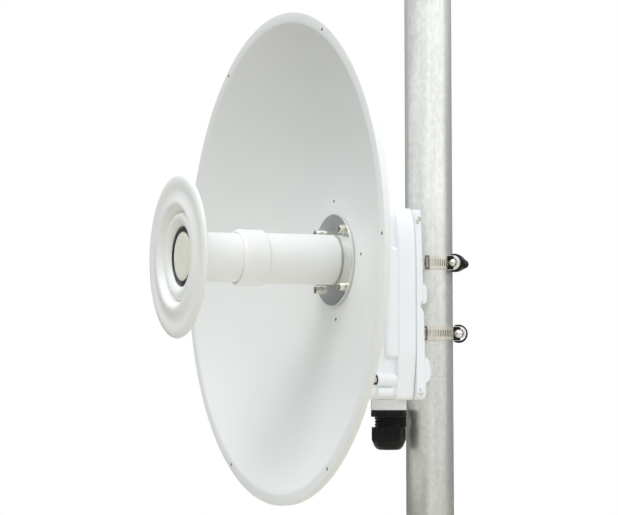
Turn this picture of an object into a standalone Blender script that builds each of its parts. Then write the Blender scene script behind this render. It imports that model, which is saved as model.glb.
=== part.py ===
# Microwave dish antenna strapped to a short steel mast.
# Metres, +Z up. The origin is the centre of the base plate's underside, on the mast's axis.
# The dish looks along -Y. The whole head turns about the mast's axis.

import math

import bmesh
import bpy

# Mast
POLE_RADIUS = 0.025
POLE_WALL = 0.003
POLE_TOP = 0.960
BASE_HALF = 0.090
BASE_THICK = 0.008
BASE_CORNER = 0.014
BASE_HOLE_REACH = 0.070
BASE_HOLE_RADIUS = 0.007
GUSSET_REACH = 0.078
GUSSET_RISE = 0.055
GUSSET_THICK = 0.005
GUSSET_NOSE = 0.010
CAP_RISE = 0.004
CAP_PLUG = 0.018

# Head: heights are counted from the dish's axis, depths from the plane of its rim
AXIS_HEIGHT = 0.650
RIM_Y = -0.1784
GAP = 0.0003

# Reflector
DISH_RADIUS = 0.250
OPENING_RADIUS = 0.239
FLAT_RADIUS = 0.065
DISH_DEPTH = 0.0682
DISH_SHEET = 0.0015
LIP_DEPTH = 0.007
RIM_HOLE_CIRCLE = 0.2438
RIM_HOLE_TURN = math.radians(1.5)
HUB_HOLE_CIRCLE = 0.0614
HUB_HOLE_TURN = math.radians(2.0)
SMALL_HOLE_RADIUS = 0.0015

# Hub plate and its bolts
HUB_RADIUS = 0.0475
HUB_THICK = 0.003
BOLT_CIRCLE = 0.0415
BOLT_TURN = math.radians(45.5)
BOLT_RADIUS = 0.0025
BOLT_HEAD_RADIUS = 0.0042
BOLT_HEAD_RISE = 0.0058
BOLT_REACH = 0.0815

# Feed, from the dish forward: depths in front of the rim are negative
TUBE_RADIUS = 0.0259
TUBE_WALL = 0.0025
NARROW_TUBE_RADIUS = 0.0249
COLLAR_RADIUS = 0.0288
COLLAR_FRONT = -0.0431
COLLAR_REAR = -0.0140
COLLAR_CHAMFER = 0.0020
TUBE_JOINT = -0.0220
SPLASH_RADIUS = 0.0808
SPLASH_FACE = -0.1074
SPLASH_BACK = 0.0105
SPLASH_SLEEVE = 0.0160
SEAL_RADIUS = 0.0306
CAP_RADIUS = 0.0237

# Radio housing
HOUSING_FRONT = -0.1084
HOUSING_STEP = -0.0640
SEAM_Y = -0.0440
SEAM_THICK = 0.0012
HOUSING_TOP = 0.0525
HOUSING_BOTTOM = -0.1440
FRONT_HALF = 0.0470
REAR_HALF = 0.0540
HOUSING_WALL = 0.003
LID_TOP = 0.0508
LID_CORNER = 0.008
LID_BACK_TOP = -0.0377
LID_BACK_BOTTOM = -0.0317
LID_ROUNDING = 0.0025
NOTCH_HIGH = -0.0455
NOTCH_FLOOR = -0.0389
PAD_LOW = -0.1010
PAD_HIGH = 0.0115
PAD_FRONT = -0.0770
PAD_SUNK = 0.0016
BOSS_RADIUS = 0.0066
BOSS_HEIGHT = -0.1237
BOSS_FRONT = -0.0880
BOSS_REAR = -0.0652
BOSS_SCREW_RADIUS = 0.0042
BOSS_SHANK = 0.0022
LID_SCREW_RADIUS = 0.0019
GLAND_Y = -0.0484
GLAND_BORE = 0.0085
GLAND_THREAD = 0.0136
NECK_RADIUS = 0.0187
NECK_LENGTH = 0.0105
FLANGE_LENGTH = 0.0070
GLAND_BODY_LENGTH = 0.0175
NUT_RADIUS = 0.0178
NUT_LENGTH = 0.0236

# Straps
STRAP_HEIGHTS = {"upper": -0.001, "lower": -0.075}
STRAP_ANGLES = {"upper": math.radians(38.7), "lower": math.radians(66.0)}
STRAP_WIDTH = 0.0142
STRAP_SHEET = 0.0008
STRAP_FRONT_Y = -0.0312
STRAP_FRONT_HALF = 0.0165
KEEPER_AT = 0.0062
KEEPER_LENGTH = 0.0046
SCREW_REACH = 0.0308
SCREW_RADIUS = 0.0044
SHANK_RADIUS = 0.0025
ARCH_RADIUS = 0.0083
ARCH_WALL = 0.0009
ARCH_NEAR = -0.0070
ARCH_FAR = -0.0028
KNOB_RADIUS = 0.0093

FORWARD = (math.pi / 2, 0.0, 0.0)  # turns a piece's own +Z to the dish's boresight
SIDES = {"near": 1, "far": -1}


def clear_scene():
    for obj in list(bpy.data.objects):
        bpy.data.objects.remove(obj, do_unlink=True)


def collection(name):
    made = bpy.data.collections.new(name)
    bpy.context.scene.collection.children.link(made)
    return made


def finish(name, colour, roughness, metallic=0.0):
    made = bpy.data.materials.new(name)
    made.use_nodes = True
    shader = made.node_tree.nodes["Principled BSDF"]
    shader.inputs["Base Color"].default_value = (*colour, 1.0)
    shader.inputs["Roughness"].default_value = roughness
    shader.inputs["Metallic"].default_value = metallic
    return made


clear_scene()
PARTS = collection("microwave_dish_antenna")
CUTTERS = collection("cutters")
head = bpy.data.objects.new("azimuth_swivel", None)
head.location = (0.0, 0.0, AXIS_HEIGHT)
PARTS.objects.link(head)


def place(obj, location, rotation, parent):
    obj.location = location
    obj.rotation_euler = rotation
    obj.parent = parent
    return obj


def part(name, mesh, look, location=(0, 0, 0), rotation=(0, 0, 0), parent=None):
    obj = bpy.data.objects.new(name, mesh)
    PARTS.objects.link(obj)
    mesh.materials.append(look)
    return place(obj, location, rotation, parent)


def cutter(name, mesh, location=(0, 0, 0), rotation=(0, 0, 0), parent=None):
    obj = bpy.data.objects.new(name, mesh)
    CUTTERS.objects.link(obj)
    obj.hide_render = True
    obj.display_type = "WIRE"
    return place(obj, location, rotation, parent)


def combine(obj, other, operation):
    step = obj.modifiers.new(f"{operation.lower()} {other.name}", "BOOLEAN")
    step.operation = operation
    step.object = other
    step.solver = "EXACT"
    return obj


def cut(obj, other):
    return combine(obj, other, "DIFFERENCE")


def join(obj, other):
    return combine(obj, other, "UNION")


def bevel(obj, width, segments=2, angle=50.0):
    step = obj.modifiers.new("rounded edges", "BEVEL")
    step.width = width
    step.segments = segments
    step.limit_method = "ANGLE"
    step.angle_limit = math.radians(angle)
    return obj


def smooth(mesh, angle=35.0):
    mesh.shade_smooth()
    mesh.set_sharp_from_angle(angle=math.radians(angle))
    return mesh


# A profile is a list of (radius, height), down the outer side from the top.
# A ring's profile is closed; a solid's starts and ends on the axis.
def profile_mesh(name, profile, ring):
    points = [(radius, 0.0, height) for radius, height in profile]
    edges = [(i, i + 1) for i in range(len(points) - 1)]
    if ring:
        edges.append((len(points) - 1, 0))
    mesh = bpy.data.meshes.new(name)
    mesh.from_pydata(points, edges, [])
    return mesh


def turn(obj, steps):
    step = obj.modifiers.new("turned", "SCREW")
    step.axis = "Z"
    step.steps = steps
    step.render_steps = steps
    step.use_merge_vertices = True
    step.merge_threshold = 0.00001
    step.use_smooth_shade = True
    return obj


def turned(name, profile, look, steps=32, ring=False, **where):
    return turn(part(name, profile_mesh(name, profile, ring), look, **where), steps)


def cylinder_mesh(name, radius, length, sides=24):
    mesh = bpy.data.meshes.new(name)
    work = bmesh.new()
    bmesh.ops.create_cone(
        work, cap_ends=True, segments=sides, radius1=radius, radius2=radius, depth=length
    )
    work.to_mesh(mesh)
    work.free()
    return smooth(mesh)


def box_mesh(name, size):
    mesh = bpy.data.meshes.new(name)
    work = bmesh.new()
    bmesh.ops.create_cube(work, size=1.0)
    bmesh.ops.scale(work, vec=size, verts=work.verts)
    work.to_mesh(mesh)
    work.free()
    return mesh


def arc(centre, reach, start, end, steps):
    rx, ry = reach
    turns = [start + (end - start) * i / steps for i in range(steps + 1)]
    return [(centre[0] + rx * math.cos(t), centre[1] + ry * math.sin(t)) for t in turns]


def circle(centre, radius, sides):
    return arc(centre, (radius, radius), 0, math.tau * (sides - 1) / sides, sides - 1)


# A corner is its reach across and its reach in height, so it can be drawn out.
def rounded_outline(half_width, low, high, low_corner, high_corner, steps=5):
    quarter = math.pi / 2
    points = []
    for turns, side, level, corner in (
        (0, 1, high, high_corner),
        (1, -1, high, high_corner),
        (2, -1, low, low_corner),
        (3, 1, low, low_corner),
    ):
        inward = -1 if level == high else 1
        centre = (side * (half_width - corner[0]), level + inward * corner[1])
        points += arc(centre, corner, turns * quarter, (turns + 1) * quarter, steps)
    return points


# A flat outline, with any holes as further loops, as a plate centred on its own XY plane.
def plate_mesh(name, loops, thickness):
    curve = bpy.data.curves.new(name + " outline", "CURVE")
    curve.dimensions = "2D"
    curve.fill_mode = "BOTH"
    curve.extrude = thickness / 2
    for loop in loops:
        spline = curve.splines.new("POLY")
        spline.points.add(len(loop) - 1)
        spline.use_cyclic_u = True
        for point, (x, y) in zip(spline.points, loop):
            point.co = (x, y, 0.0, 1.0)
    guide = bpy.data.objects.new(name + " outline", curve)
    CUTTERS.objects.link(guide)
    bpy.context.view_layer.update()
    graph = bpy.context.evaluated_depsgraph_get()
    mesh = bpy.data.meshes.new_from_object(guide.evaluated_get(graph))
    mesh.name = name
    bpy.data.objects.remove(guide, do_unlink=True)
    work = bmesh.new()
    work.from_mesh(mesh)
    bmesh.ops.remove_doubles(work, verts=work.verts, dist=0.000001)
    bmesh.ops.recalc_face_normals(work, faces=work.faces)
    work.to_mesh(mesh)
    work.free()
    return mesh


def bolt_circle(radius, turn_by, count):
    for i in range(count):
        angle = turn_by + i * math.tau / count
        yield radius * math.cos(angle), radius * math.sin(angle)


# Materials
painted_white = finish("reflector_white_paint", (0.80, 0.81, 0.80), 0.38)
feed_white = finish("feed_white_plastic", (0.82, 0.82, 0.80), 0.32)
splash_white = finish("splash_plate_plastic", (0.78, 0.78, 0.74), 0.35)
housing_white = finish("housing_white", (0.84, 0.86, 0.90), 0.34)
zinc_steel = finish("galvanised_steel", (0.56, 0.56, 0.53), 0.48, 0.75)
hub_metal = finish("hub_plate_metal", (0.34, 0.36, 0.35), 0.32, 0.9)
bright_steel = finish("stainless_steel", (0.66, 0.64, 0.60), 0.25, 1.0)
black_plastic = finish("black_plastic", (0.012, 0.012, 0.013), 0.38)
black_rubber = finish("black_rubber", (0.01, 0.01, 0.01), 0.6)
cap_plastic = finish("feed_cap_plastic", (0.66, 0.66, 0.58), 0.42)
neck_grey = finish("neck_light_grey", (0.72, 0.74, 0.76), 0.4)
seam_grey = finish("seam_seal_grey", (0.45, 0.46, 0.48), 0.6)


# Mast: base plate with four gussets welded on, the tube, and a plug in its top
def mast():
    corner = (BASE_CORNER, BASE_CORNER)
    outline = rounded_outline(BASE_HALF, -BASE_HALF, BASE_HALF, corner, corner)
    holes = [
        circle((x * BASE_HOLE_REACH, y * BASE_HOLE_REACH), BASE_HOLE_RADIUS, 16)
        for x in (-1, 1)
        for y in (-1, 1)
    ]
    plate = part(
        "mast_base",
        plate_mesh("mast_base", [outline] + holes, BASE_THICK),
        zinc_steel,
        location=(0, 0, BASE_THICK / 2),
    )
    sunk = BASE_THICK / 2
    inner = POLE_RADIUS + GAP
    gusset = [
        (inner, -sunk),
        (GUSSET_REACH, -sunk),
        (GUSSET_REACH, GUSSET_NOSE),
        (inner + GUSSET_NOSE, GUSSET_RISE),
        (inner, GUSSET_RISE),
    ]
    for i in range(4):
        fin = cutter(
            f"gusset_{i + 1}",
            plate_mesh(f"gusset_{i + 1}", [gusset], GUSSET_THICK),
            location=(0, 0, BASE_THICK),
            rotation=(math.pi / 2, 0, math.pi / 4 + i * math.pi / 2),
        )
        join(plate, fin)

    low = BASE_THICK + GAP
    bore = POLE_RADIUS - POLE_WALL
    turned(
        "mast_pole",
        [(bore, POLE_TOP), (POLE_RADIUS, POLE_TOP), (POLE_RADIUS, low), (bore, low)],
        zinc_steel,
        steps=48,
        ring=True,
    )
    top = POLE_TOP + GAP
    turned(
        "mast_cap",
        [
            (0, top + CAP_RISE),
            (POLE_RADIUS - 0.003, top + CAP_RISE),
            (POLE_RADIUS, top + 0.0015),
            (POLE_RADIUS, top),
            (bore - GAP, top),
            (bore - GAP, top - CAP_PLUG),
            (0, top - CAP_PLUG),
        ],
        black_plastic,
        steps=32,
    )


# The reflector's front surface, as depth behind the rim at a radius.
def bowl_depth(radius):
    if radius <= FLAT_RADIUS:
        return DISH_DEPTH
    span = OPENING_RADIUS**2 - FLAT_RADIUS**2
    return DISH_DEPTH * (OPENING_RADIUS**2 - radius**2) / span


def reflector():
    rings = 7
    bowl = [TUBE_RADIUS + GAP]
    bowl += [FLAT_RADIUS + (OPENING_RADIUS - FLAT_RADIUS) * i / rings for i in range(rings + 1)]
    front = [(radius, -bowl_depth(radius)) for radius in bowl]
    fold = 0.0015
    front += [
        (DISH_RADIUS - fold, 0.0),
        (DISH_RADIUS, -fold),
        (DISH_RADIUS, -LIP_DEPTH),
    ]
    front.reverse()
    dish = part(
        "dish_reflector",
        profile_mesh("dish_reflector", front, False),
        painted_white,
        location=(0, RIM_Y, 0),
        rotation=FORWARD,
        parent=head,
    )
    turn(dish, 64)
    sheet = dish.modifiers.new("sheet", "SOLIDIFY")
    sheet.thickness = DISH_SHEET
    sheet.offset = 1.0
    sheet.use_even_offset = True

    sets = (
        ("rim_hole", RIM_HOLE_CIRCLE, RIM_HOLE_TURN, 6, SMALL_HOLE_RADIUS, 0.0),
        ("hub_hole", HUB_HOLE_CIRCLE, HUB_HOLE_TURN, 4, SMALL_HOLE_RADIUS, DISH_DEPTH),
        ("hub_bolt_hole", BOLT_CIRCLE, BOLT_TURN, 4, BOLT_RADIUS + GAP, DISH_DEPTH),
    )
    for name, ring, turn_by, count, radius, depth in sets:
        for i, (x, z) in enumerate(bolt_circle(ring, turn_by, count)):
            drill = cutter(
                f"{name}_{i + 1}",
                cylinder_mesh(name, radius, 0.012, 12),
                location=(x, RIM_Y + depth, z),
                rotation=FORWARD,
                parent=head,
            )
            cut(dish, drill)


def hub():
    face = -(DISH_DEPTH - GAP)
    front = face + HUB_THICK
    bore = TUBE_RADIUS + GAP
    plate = turned(
        "hub_plate",
        [
            (bore, front),
            (HUB_RADIUS - 0.0004, front),
            (HUB_RADIUS, front - 0.0004),
            (HUB_RADIUS, face),
            (bore, face),
        ],
        hub_metal,
        ring=True,
        location=(0, RIM_Y, 0),
        rotation=FORWARD,
        parent=head,
    )
    turned(
        "feed_base_ring",
        [
            (bore, front + GAP + 0.0012),
            (TUBE_RADIUS + 0.0020, front + GAP + 0.0012),
            (TUBE_RADIUS + 0.0024, front + GAP),
            (bore, front + GAP),
        ],
        hub_metal,
        ring=True,
        location=(0, RIM_Y, 0),
        rotation=FORWARD,
        parent=head,
    )
    seat = front + GAP
    top = seat + BOLT_HEAD_RISE
    socket = 0.0022
    bolt = [
        (0.0, top - 0.0024),
        (socket, top - 0.0024),
        (socket, top),
        (BOLT_HEAD_RADIUS - 0.0004, top),
        (BOLT_HEAD_RADIUS, top - 0.0004),
        (BOLT_HEAD_RADIUS, seat + 0.0021),
        (0.0036, seat + 0.0021),
        (0.0036, seat + 0.0018),
        (0.0043, seat + 0.0018),
        (0.0043, seat + 0.0009),
        (0.0047, seat + 0.0008),
        (0.0047, seat),
        (BOLT_RADIUS, seat),
        (BOLT_RADIUS, -BOLT_REACH),
        (0.0, -BOLT_REACH),
    ]
    for i, (x, z) in enumerate(bolt_circle(BOLT_CIRCLE, BOLT_TURN, 4)):
        drill = cutter(
            f"plate_hole_{i + 1}",
            cylinder_mesh("plate_hole", BOLT_RADIUS + GAP, 0.012, 16),
            location=(x, RIM_Y - front, z),
            rotation=FORWARD,
            parent=head,
        )
        cut(plate, drill)
        turned(
            f"hub_bolt_{i + 1}",
            bolt,
            bright_steel,
            steps=12,
            location=(x, RIM_Y, z),
            rotation=FORWARD,
            parent=head,
        )


def tube_profile(radius, front, rear):
    bore = radius - TUBE_WALL
    return [(bore, -front), (radius, -front), (radius, -rear), (bore, -rear)]


# Feed: wide tube on the hub, a collar, a narrow tube, and the splash plate with its seal and cap
def feed():
    where = {"location": (0, RIM_Y, 0), "rotation": FORWARD, "parent": head}
    rear_end = HOUSING_FRONT - RIM_Y - GAP
    turned(
        "feed_tube_rear", tube_profile(TUBE_RADIUS, TUBE_JOINT, rear_end), feed_white, ring=True, **where
    )
    splash_seat = SPLASH_FACE + SPLASH_BACK + GAP
    turned(
        "feed_tube_front",
        tube_profile(NARROW_TUBE_RADIUS, splash_seat, TUBE_JOINT - GAP),
        feed_white,
        ring=True,
        **where,
    )
    edge = 0.0005
    front_wall = 0.003
    cone = 0.0018
    narrow, wide = NARROW_TUBE_RADIUS + GAP, TUBE_RADIUS + GAP
    turned(
        "feed_collar",
        [
            (narrow, -COLLAR_FRONT),
            (COLLAR_RADIUS - edge, -COLLAR_FRONT - cone + edge),
            (COLLAR_RADIUS, -COLLAR_FRONT - cone),
            (COLLAR_RADIUS, -COLLAR_REAR + COLLAR_CHAMFER),
            (wide + edge, -COLLAR_REAR),
            (wide, -COLLAR_REAR),
            (wide, -COLLAR_FRONT - cone - front_wall),
            (narrow, -COLLAR_FRONT - cone - front_wall),
        ],
        feed_white,
        ring=True,
        **where,
    )

    # Radius, and distance behind the outer face: recess, inner ridge, groove, outer ridge, rim
    floor = 0.0080
    sleeve = NARROW_TUBE_RADIUS + GAP
    steps = [
        (0.0, floor),
        (SEAL_RADIUS + GAP, floor),
        (SEAL_RADIUS + GAP, 0.0052),
        (0.0355, 0.0014),
        (0.0370, 0.0009),
        (0.0453, 0.0018),
        (0.0462, 0.0032),
        (0.0476, 0.0031),
        (0.0540, -0.0012),
        (0.0562, -0.0020),
        (0.0585, -0.0016),
        (0.0640, -0.0001),
        (0.0775, 0.0),
        (0.0796, 0.0006),
        (SPLASH_RADIUS, 0.0024),
        (0.0800, 0.0044),
        (0.0780, 0.0050),
        (0.0600, 0.0056),
        (0.0400, 0.0090),
        (sleeve + 0.0045, SPLASH_BACK + 0.0010),
        (sleeve + 0.0030, SPLASH_SLEEVE),
        (sleeve, SPLASH_SLEEVE),
        (sleeve, SPLASH_BACK),
        (0.0, SPLASH_BACK),
    ]
    turned(
        "splash_plate",
        [(radius, -SPLASH_FACE - back) for radius, back in steps],
        splash_white,
        steps=48,
        **where,
    )
    base = -SPLASH_FACE - floor + GAP
    turned(
        "splash_seal",
        [
            (CAP_RADIUS + GAP, base + 0.0016),
            (CAP_RADIUS + 0.0020, base + 0.0021),
            (SEAL_RADIUS - 0.0020, base + 0.0021),
            (SEAL_RADIUS, base + 0.0014),
            (SEAL_RADIUS, base),
            (CAP_RADIUS + GAP, base),
        ],
        black_rubber,
        ring=True,
        **where,
    )
    turned(
        "splash_cap",
        [
            (0.0, base + 0.0018),
            (CAP_RADIUS - 0.0008, base + 0.0018),
            (CAP_RADIUS, base + 0.0010),
            (CAP_RADIUS, base),
            (0.0, base),
        ],
        cap_plastic,
        **where,
    )


# A block of the housing: outline in X and height, running from front to rear along Y.
def housing_block(name, outline, front, rear):
    return plate_mesh(name, [outline], rear - front), (0.0, (front + rear) / 2, 0.0)


# The skirt and its seal narrow towards both ends, so the lid's corners stand proud of them.
def skirt_outline(inset=0.0):
    return rounded_outline(
        REAR_HALF - inset,
        HOUSING_BOTTOM + inset,
        HOUSING_TOP - inset,
        (0.014 - inset, 0.045 - inset),
        (0.014 - inset, 0.050 - inset),
        steps=7,
    )


def lid_outline():
    corner = (LID_CORNER, LID_CORNER)
    return rounded_outline(REAR_HALF, HOUSING_BOTTOM, LID_TOP, corner, corner)


def front_outline(inset_side=0.0, inset_end=0.0):
    corner = (0.012 - inset_side, 0.012 - inset_side)
    return rounded_outline(
        FRONT_HALF - inset_side,
        HOUSING_BOTTOM + 0.0005 + inset_end,
        HOUSING_TOP - 0.0005 - inset_end,
        corner,
        corner,
    )


def side_details(body):
    for tag, side in SIDES.items():
        middle = (PAD_FRONT + HOUSING_STEP + 0.007) / 2
        depth = HOUSING_STEP + 0.007 - PAD_FRONT
        pad = cutter(
            f"side_pad_{tag}",
            box_mesh("side_pad", (0.016, depth, PAD_HIGH - PAD_LOW)),
            (side * (REAR_HALF - PAD_SUNK - 0.008), middle, (PAD_LOW + PAD_HIGH) / 2),
            parent=head,
        )
        join(body, bevel(pad, 0.0035, 3))
        boss = cutter(
            f"screw_boss_{tag}",
            cylinder_mesh("screw_boss", BOSS_RADIUS, BOSS_REAR - BOSS_FRONT, 24),
            (side * FRONT_HALF, (BOSS_FRONT + BOSS_REAR) / 2, BOSS_HEIGHT),
            FORWARD,
            head,
        )
        join(body, bevel(boss, 0.0015, 2))
        lump = cutter(
            f"lower_boss_{tag}",
            cylinder_mesh("lower_boss", 0.0046, 0.0172, 20),
            (side * (FRONT_HALF - 0.0005), -0.0768, -0.1368),
            FORWARD,
            head,
        )
        join(body, bevel(lump, 0.0015, 2))
        bores = (
            ("boss_bore", BOSS_SHANK + GAP, 0.034),
            ("boss_pocket", BOSS_SCREW_RADIUS + 2 * GAP, 0.006),
        )
        for name, radius, length in bores:
            drill = cutter(
                f"{name}_{tag}",
                cylinder_mesh(name, radius, length, 20),
                (side * FRONT_HALF, BOSS_FRONT - 0.003, BOSS_HEIGHT),
                FORWARD,
                head,
            )
            cut(body, drill)


def housing_body():
    rear = SEAM_Y - SEAM_THICK / 2 - GAP
    mesh, centre = housing_block("housing_body", front_outline(), HOUSING_FRONT, rear - 0.004)
    body = part("housing_body", mesh, housing_white, centre, FORWARD, head)
    bevel(body, 0.003)
    mesh, centre = housing_block("housing_skirt", skirt_outline(), HOUSING_STEP, rear)
    join(body, bevel(cutter("housing_skirt", mesh, centre, FORWARD, head), 0.0012))
    lip = cutter(
        "drip_lip",
        box_mesh("drip_lip", (0.090, 0.0022, 0.0060)),
        (0, -0.0960, HOUSING_BOTTOM),
        parent=head,
    )
    join(body, lip)
    side_details(body)

    mesh, centre = housing_block(
        "hollow",
        front_outline(HOUSING_WALL, 2 * HOUSING_WALL),
        HOUSING_FRONT + HOUSING_WALL,
        rear + 0.010,
    )
    cut(body, cutter("hollow", mesh, centre, FORWARD, head))
    for i, (x, z) in enumerate(bolt_circle(BOLT_CIRCLE, BOLT_TURN, 4)):
        drill = cutter(
            f"housing_hole_{i + 1}",
            cylinder_mesh("housing_hole", BOLT_RADIUS + GAP, 0.012, 12),
            (x, HOUSING_FRONT, z),
            FORWARD,
            head,
        )
        cut(body, drill)
    entry = cutter(
        "cable_entry",
        cylinder_mesh("cable_entry", 0.0125, 0.020, 24),
        (0, GLAND_Y - 0.004, HOUSING_BOTTOM),
        parent=head,
    )
    return cut(body, entry)


def housing_seal():
    mesh = plate_mesh("housing_seal", [skirt_outline(0.0006), skirt_outline(0.0046)], SEAM_THICK)
    part("housing_seal", mesh, seam_grey, (0, SEAM_Y, 0), FORWARD, head)


# The lid's rear face comes nearer the mast towards its foot.
def lean_back(mesh, centre_y):
    slope = (LID_BACK_BOTTOM - LID_BACK_TOP) / (HOUSING_BOTTOM - LID_TOP)
    for vertex in mesh.vertices:
        if vertex.co.z < 0:
            back = LID_BACK_TOP + slope * (vertex.co.y - LID_TOP)
            vertex.co.z = centre_y - back


# Rounds the rear outline only, so the edge that meets the seal stays sharp.
def round_rear(mesh, width):
    work = bmesh.new()
    work.from_mesh(mesh)
    rim = [
        edge
        for edge in work.edges
        if max(corner.co.z for corner in edge.verts) < 0 and edge.calc_face_angle(0.0) > 1.0
    ]
    bmesh.ops.bevel(work, geom=rim, offset=width, segments=3, profile=0.5, affect="EDGES")
    work.to_mesh(mesh)
    work.free()
    smooth(mesh)


# A block standing on the lid's rear face as far as the mast's front.
def lid_block(lid, name, half, low, high, rounding):
    root = LID_BACK_TOP - 0.004
    rest = -POLE_RADIUS + 0.0008
    block = cutter(
        name,
        box_mesh(name, (2 * half, rest - root, high - low)),
        (0, (rest + root) / 2, (low + high) / 2),
        parent=head,
    )
    join(lid, bevel(block, rounding))


def housing_lid():
    front = SEAM_Y + SEAM_THICK / 2 + GAP
    mesh, centre = housing_block("housing_lid", lid_outline(), front, LID_BACK_TOP)
    lean_back(mesh, centre[1])
    round_rear(mesh, LID_ROUNDING)
    lid = part("housing_lid", mesh, housing_white, centre, FORWARD, head)

    slope = 0.0060
    notch = [
        (NOTCH_FLOOR, NOTCH_HIGH),
        (NOTCH_FLOOR, NOTCH_HIGH - 0.0055),
        (NOTCH_FLOOR + 2 * slope, NOTCH_HIGH - 0.0055 - 3 * slope),
        (NOTCH_FLOOR + 2 * slope, NOTCH_HIGH),
    ]
    for tag, side in SIDES.items():
        wedge = cutter(
            f"screw_notch_{tag}",
            plate_mesh("screw_notch", [notch], 0.016),
            (side * REAR_HALF, 0, 0),
            (math.pi / 2, 0, math.pi / 2),
            head,
        )
        cut(lid, wedge)

    lid_block(lid, "saddle_rib_upper", 0.0430, NOTCH_HIGH, -0.0240, 0.0025)
    lid_block(lid, "saddle_rib_lower", 0.0475, -0.1270, -0.1000, 0.0025)
    for tag, height in STRAP_HEIGHTS.items():
        half = STRAP_WIDTH / 2 + 0.003
        lid_block(lid, f"strap_guide_{tag}", STRAP_FRONT_HALF - 0.002, height - half, height + half, 0.001)
        slot = cutter(
            f"strap_slot_{tag}",
            box_mesh("strap_slot", (0.060, STRAP_SHEET + 0.0012, STRAP_WIDTH + 0.0008)),
            (0, STRAP_FRONT_Y, height),
            parent=head,
        )
        cut(lid, slot)
    pole_space = cutter(
        "pole_space",
        cylinder_mesh("pole_space", POLE_RADIUS + GAP, 0.30, 56),
        (0, 0, -0.05),
        parent=head,
    )
    return cut(lid, pole_space)


def pan_screw(radius, rise, shank_radius, shank):
    return [
        (0.0, rise),
        (radius * 0.6, rise),
        (radius, rise * 0.45),
        (radius, 0.0),
        (shank_radius, 0.0),
        (shank_radius, -shank),
        (0.0, -shank),
    ]


def housing_screws(lid):
    back = -math.pi / 2
    for tag, side in SIDES.items():
        turned(
            f"boss_screw_{tag}",
            pan_screw(BOSS_SCREW_RADIUS, 0.0022, BOSS_SHANK, 0.0130),
            bright_steel,
            steps=16,
            location=(side * FRONT_HALF, BOSS_FRONT - GAP, BOSS_HEIGHT),
            rotation=FORWARD,
            parent=head,
        )
        # The end screws sit in the lid's side, half sunk; the middle one in its notch, facing back
        sunk = side * (REAR_HALF - 0.0006)
        spots = (
            ((sunk, -0.0405, 0.0405), (0, side * math.pi / 2, 0)),
            ((side * (REAR_HALF - 0.0035), NOTCH_FLOOR + GAP, NOTCH_HIGH - 0.0027), (back, 0, 0)),
            ((sunk, -0.0390, -0.1365), (0, side * math.pi / 2, 0)),
        )
        for i, (spot, turn_by) in enumerate(spots):
            drill = cutter(
                f"lid_bore_{tag}_{i + 1}",
                cylinder_mesh("lid_bore", LID_SCREW_RADIUS + GAP, 0.012 if i != 1 else 0.0006, 12),
                spot,
                turn_by,
                head,
            )
            cut(lid, drill)
            pilot = cutter(
                f"lid_pilot_{tag}_{i + 1}",
                cylinder_mesh("lid_pilot", 0.0012 + GAP, 0.014 if i != 1 else 0.0066, 12),
                spot,
                turn_by,
                head,
            )
            cut(lid, pilot)
            turned(
                f"lid_screw_{tag}_{i + 1}",
                pan_screw(LID_SCREW_RADIUS, 0.0012 if i != 1 else 0.0018, 0.0012, 0.0030),
                bright_steel,
                steps=10,
                location=spot,
                rotation=turn_by,
                parent=head,
            )


# Cable gland under the housing, with no cable in it
def gland():
    where = {"location": (0, GLAND_Y, 0), "parent": head}
    top = HOUSING_BOTTOM - GAP
    low = top - NECK_LENGTH
    turned(
        "gland_neck",
        [
            (GLAND_BORE + 0.002, top),
            (NECK_RADIUS, top),
            (NECK_RADIUS, low + 0.0016),
            (NECK_RADIUS + 0.0004, low + 0.0012),
            (NECK_RADIUS + 0.0004, low),
            (GLAND_BORE + 0.002, low),
        ],
        neck_grey,
        ring=True,
        **where,
    )
    flange = low - GAP
    rim = flange - GLAND_BODY_LENGTH
    turned(
        "gland_body",
        [
            (GLAND_BORE, flange),
            (NECK_RADIUS - 0.0002, flange),
            (NECK_RADIUS - 0.0002, flange - FLANGE_LENGTH),
            (GLAND_THREAD, flange - FLANGE_LENGTH - 0.0004),
            (GLAND_THREAD, rim),
            (GLAND_BORE, rim),
        ],
        black_plastic,
        ring=True,
        **where,
    )
    turned(
        "gland_nut",
        [
            (GLAND_THREAD + GAP, rim),
            (NUT_RADIUS - 0.0004, rim),
            (NUT_RADIUS, rim - 0.0006),
            (NUT_RADIUS, rim - 0.0130),
            (0.0168, rim - 0.0166),
            (0.0150, rim - 0.0200),
            (0.0122, rim - 0.0228),
            (GLAND_BORE, rim - NUT_LENGTH),
            (GLAND_BORE, rim - 0.0180),
            (GLAND_THREAD + GAP, rim - 0.0130),
        ],
        black_plastic,
        ring=True,
        **where,
    )


# The strap's middle line in plan: round the back of the mast, then straight to the lid's guide
def strap_path():
    grip = POLE_RADIUS + GAP + STRAP_SHEET / 2
    reach = math.hypot(STRAP_FRONT_HALF, STRAP_FRONT_Y)
    leave = math.atan2(STRAP_FRONT_Y, STRAP_FRONT_HALF) + math.acos(grip / reach)
    around = arc((0, 0), (grip, grip), leave, math.pi - leave, 40)
    return around + [
        (-STRAP_FRONT_HALF, STRAP_FRONT_Y),
        (STRAP_FRONT_HALF, STRAP_FRONT_Y),
    ], leave, grip


def offset_loop(path, distance):
    moved = []
    for i, (x, y) in enumerate(path):
        (ax, ay), (bx, by) = path[i - 1], path[(i + 1) % len(path)]
        first = (x - ax, y - ay)
        second = (bx - x, by - y)
        normals = []
        for dx, dy in (first, second):
            length = math.hypot(dx, dy)
            normals.append((dy / length, -dx / length))
        nx = normals[0][0] + normals[1][0]
        ny = normals[0][1] + normals[1][1]
        scale = 2 / (nx * nx + ny * ny)
        moved.append((x + distance * nx * scale, y + distance * ny * scale))
    return moved


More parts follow.
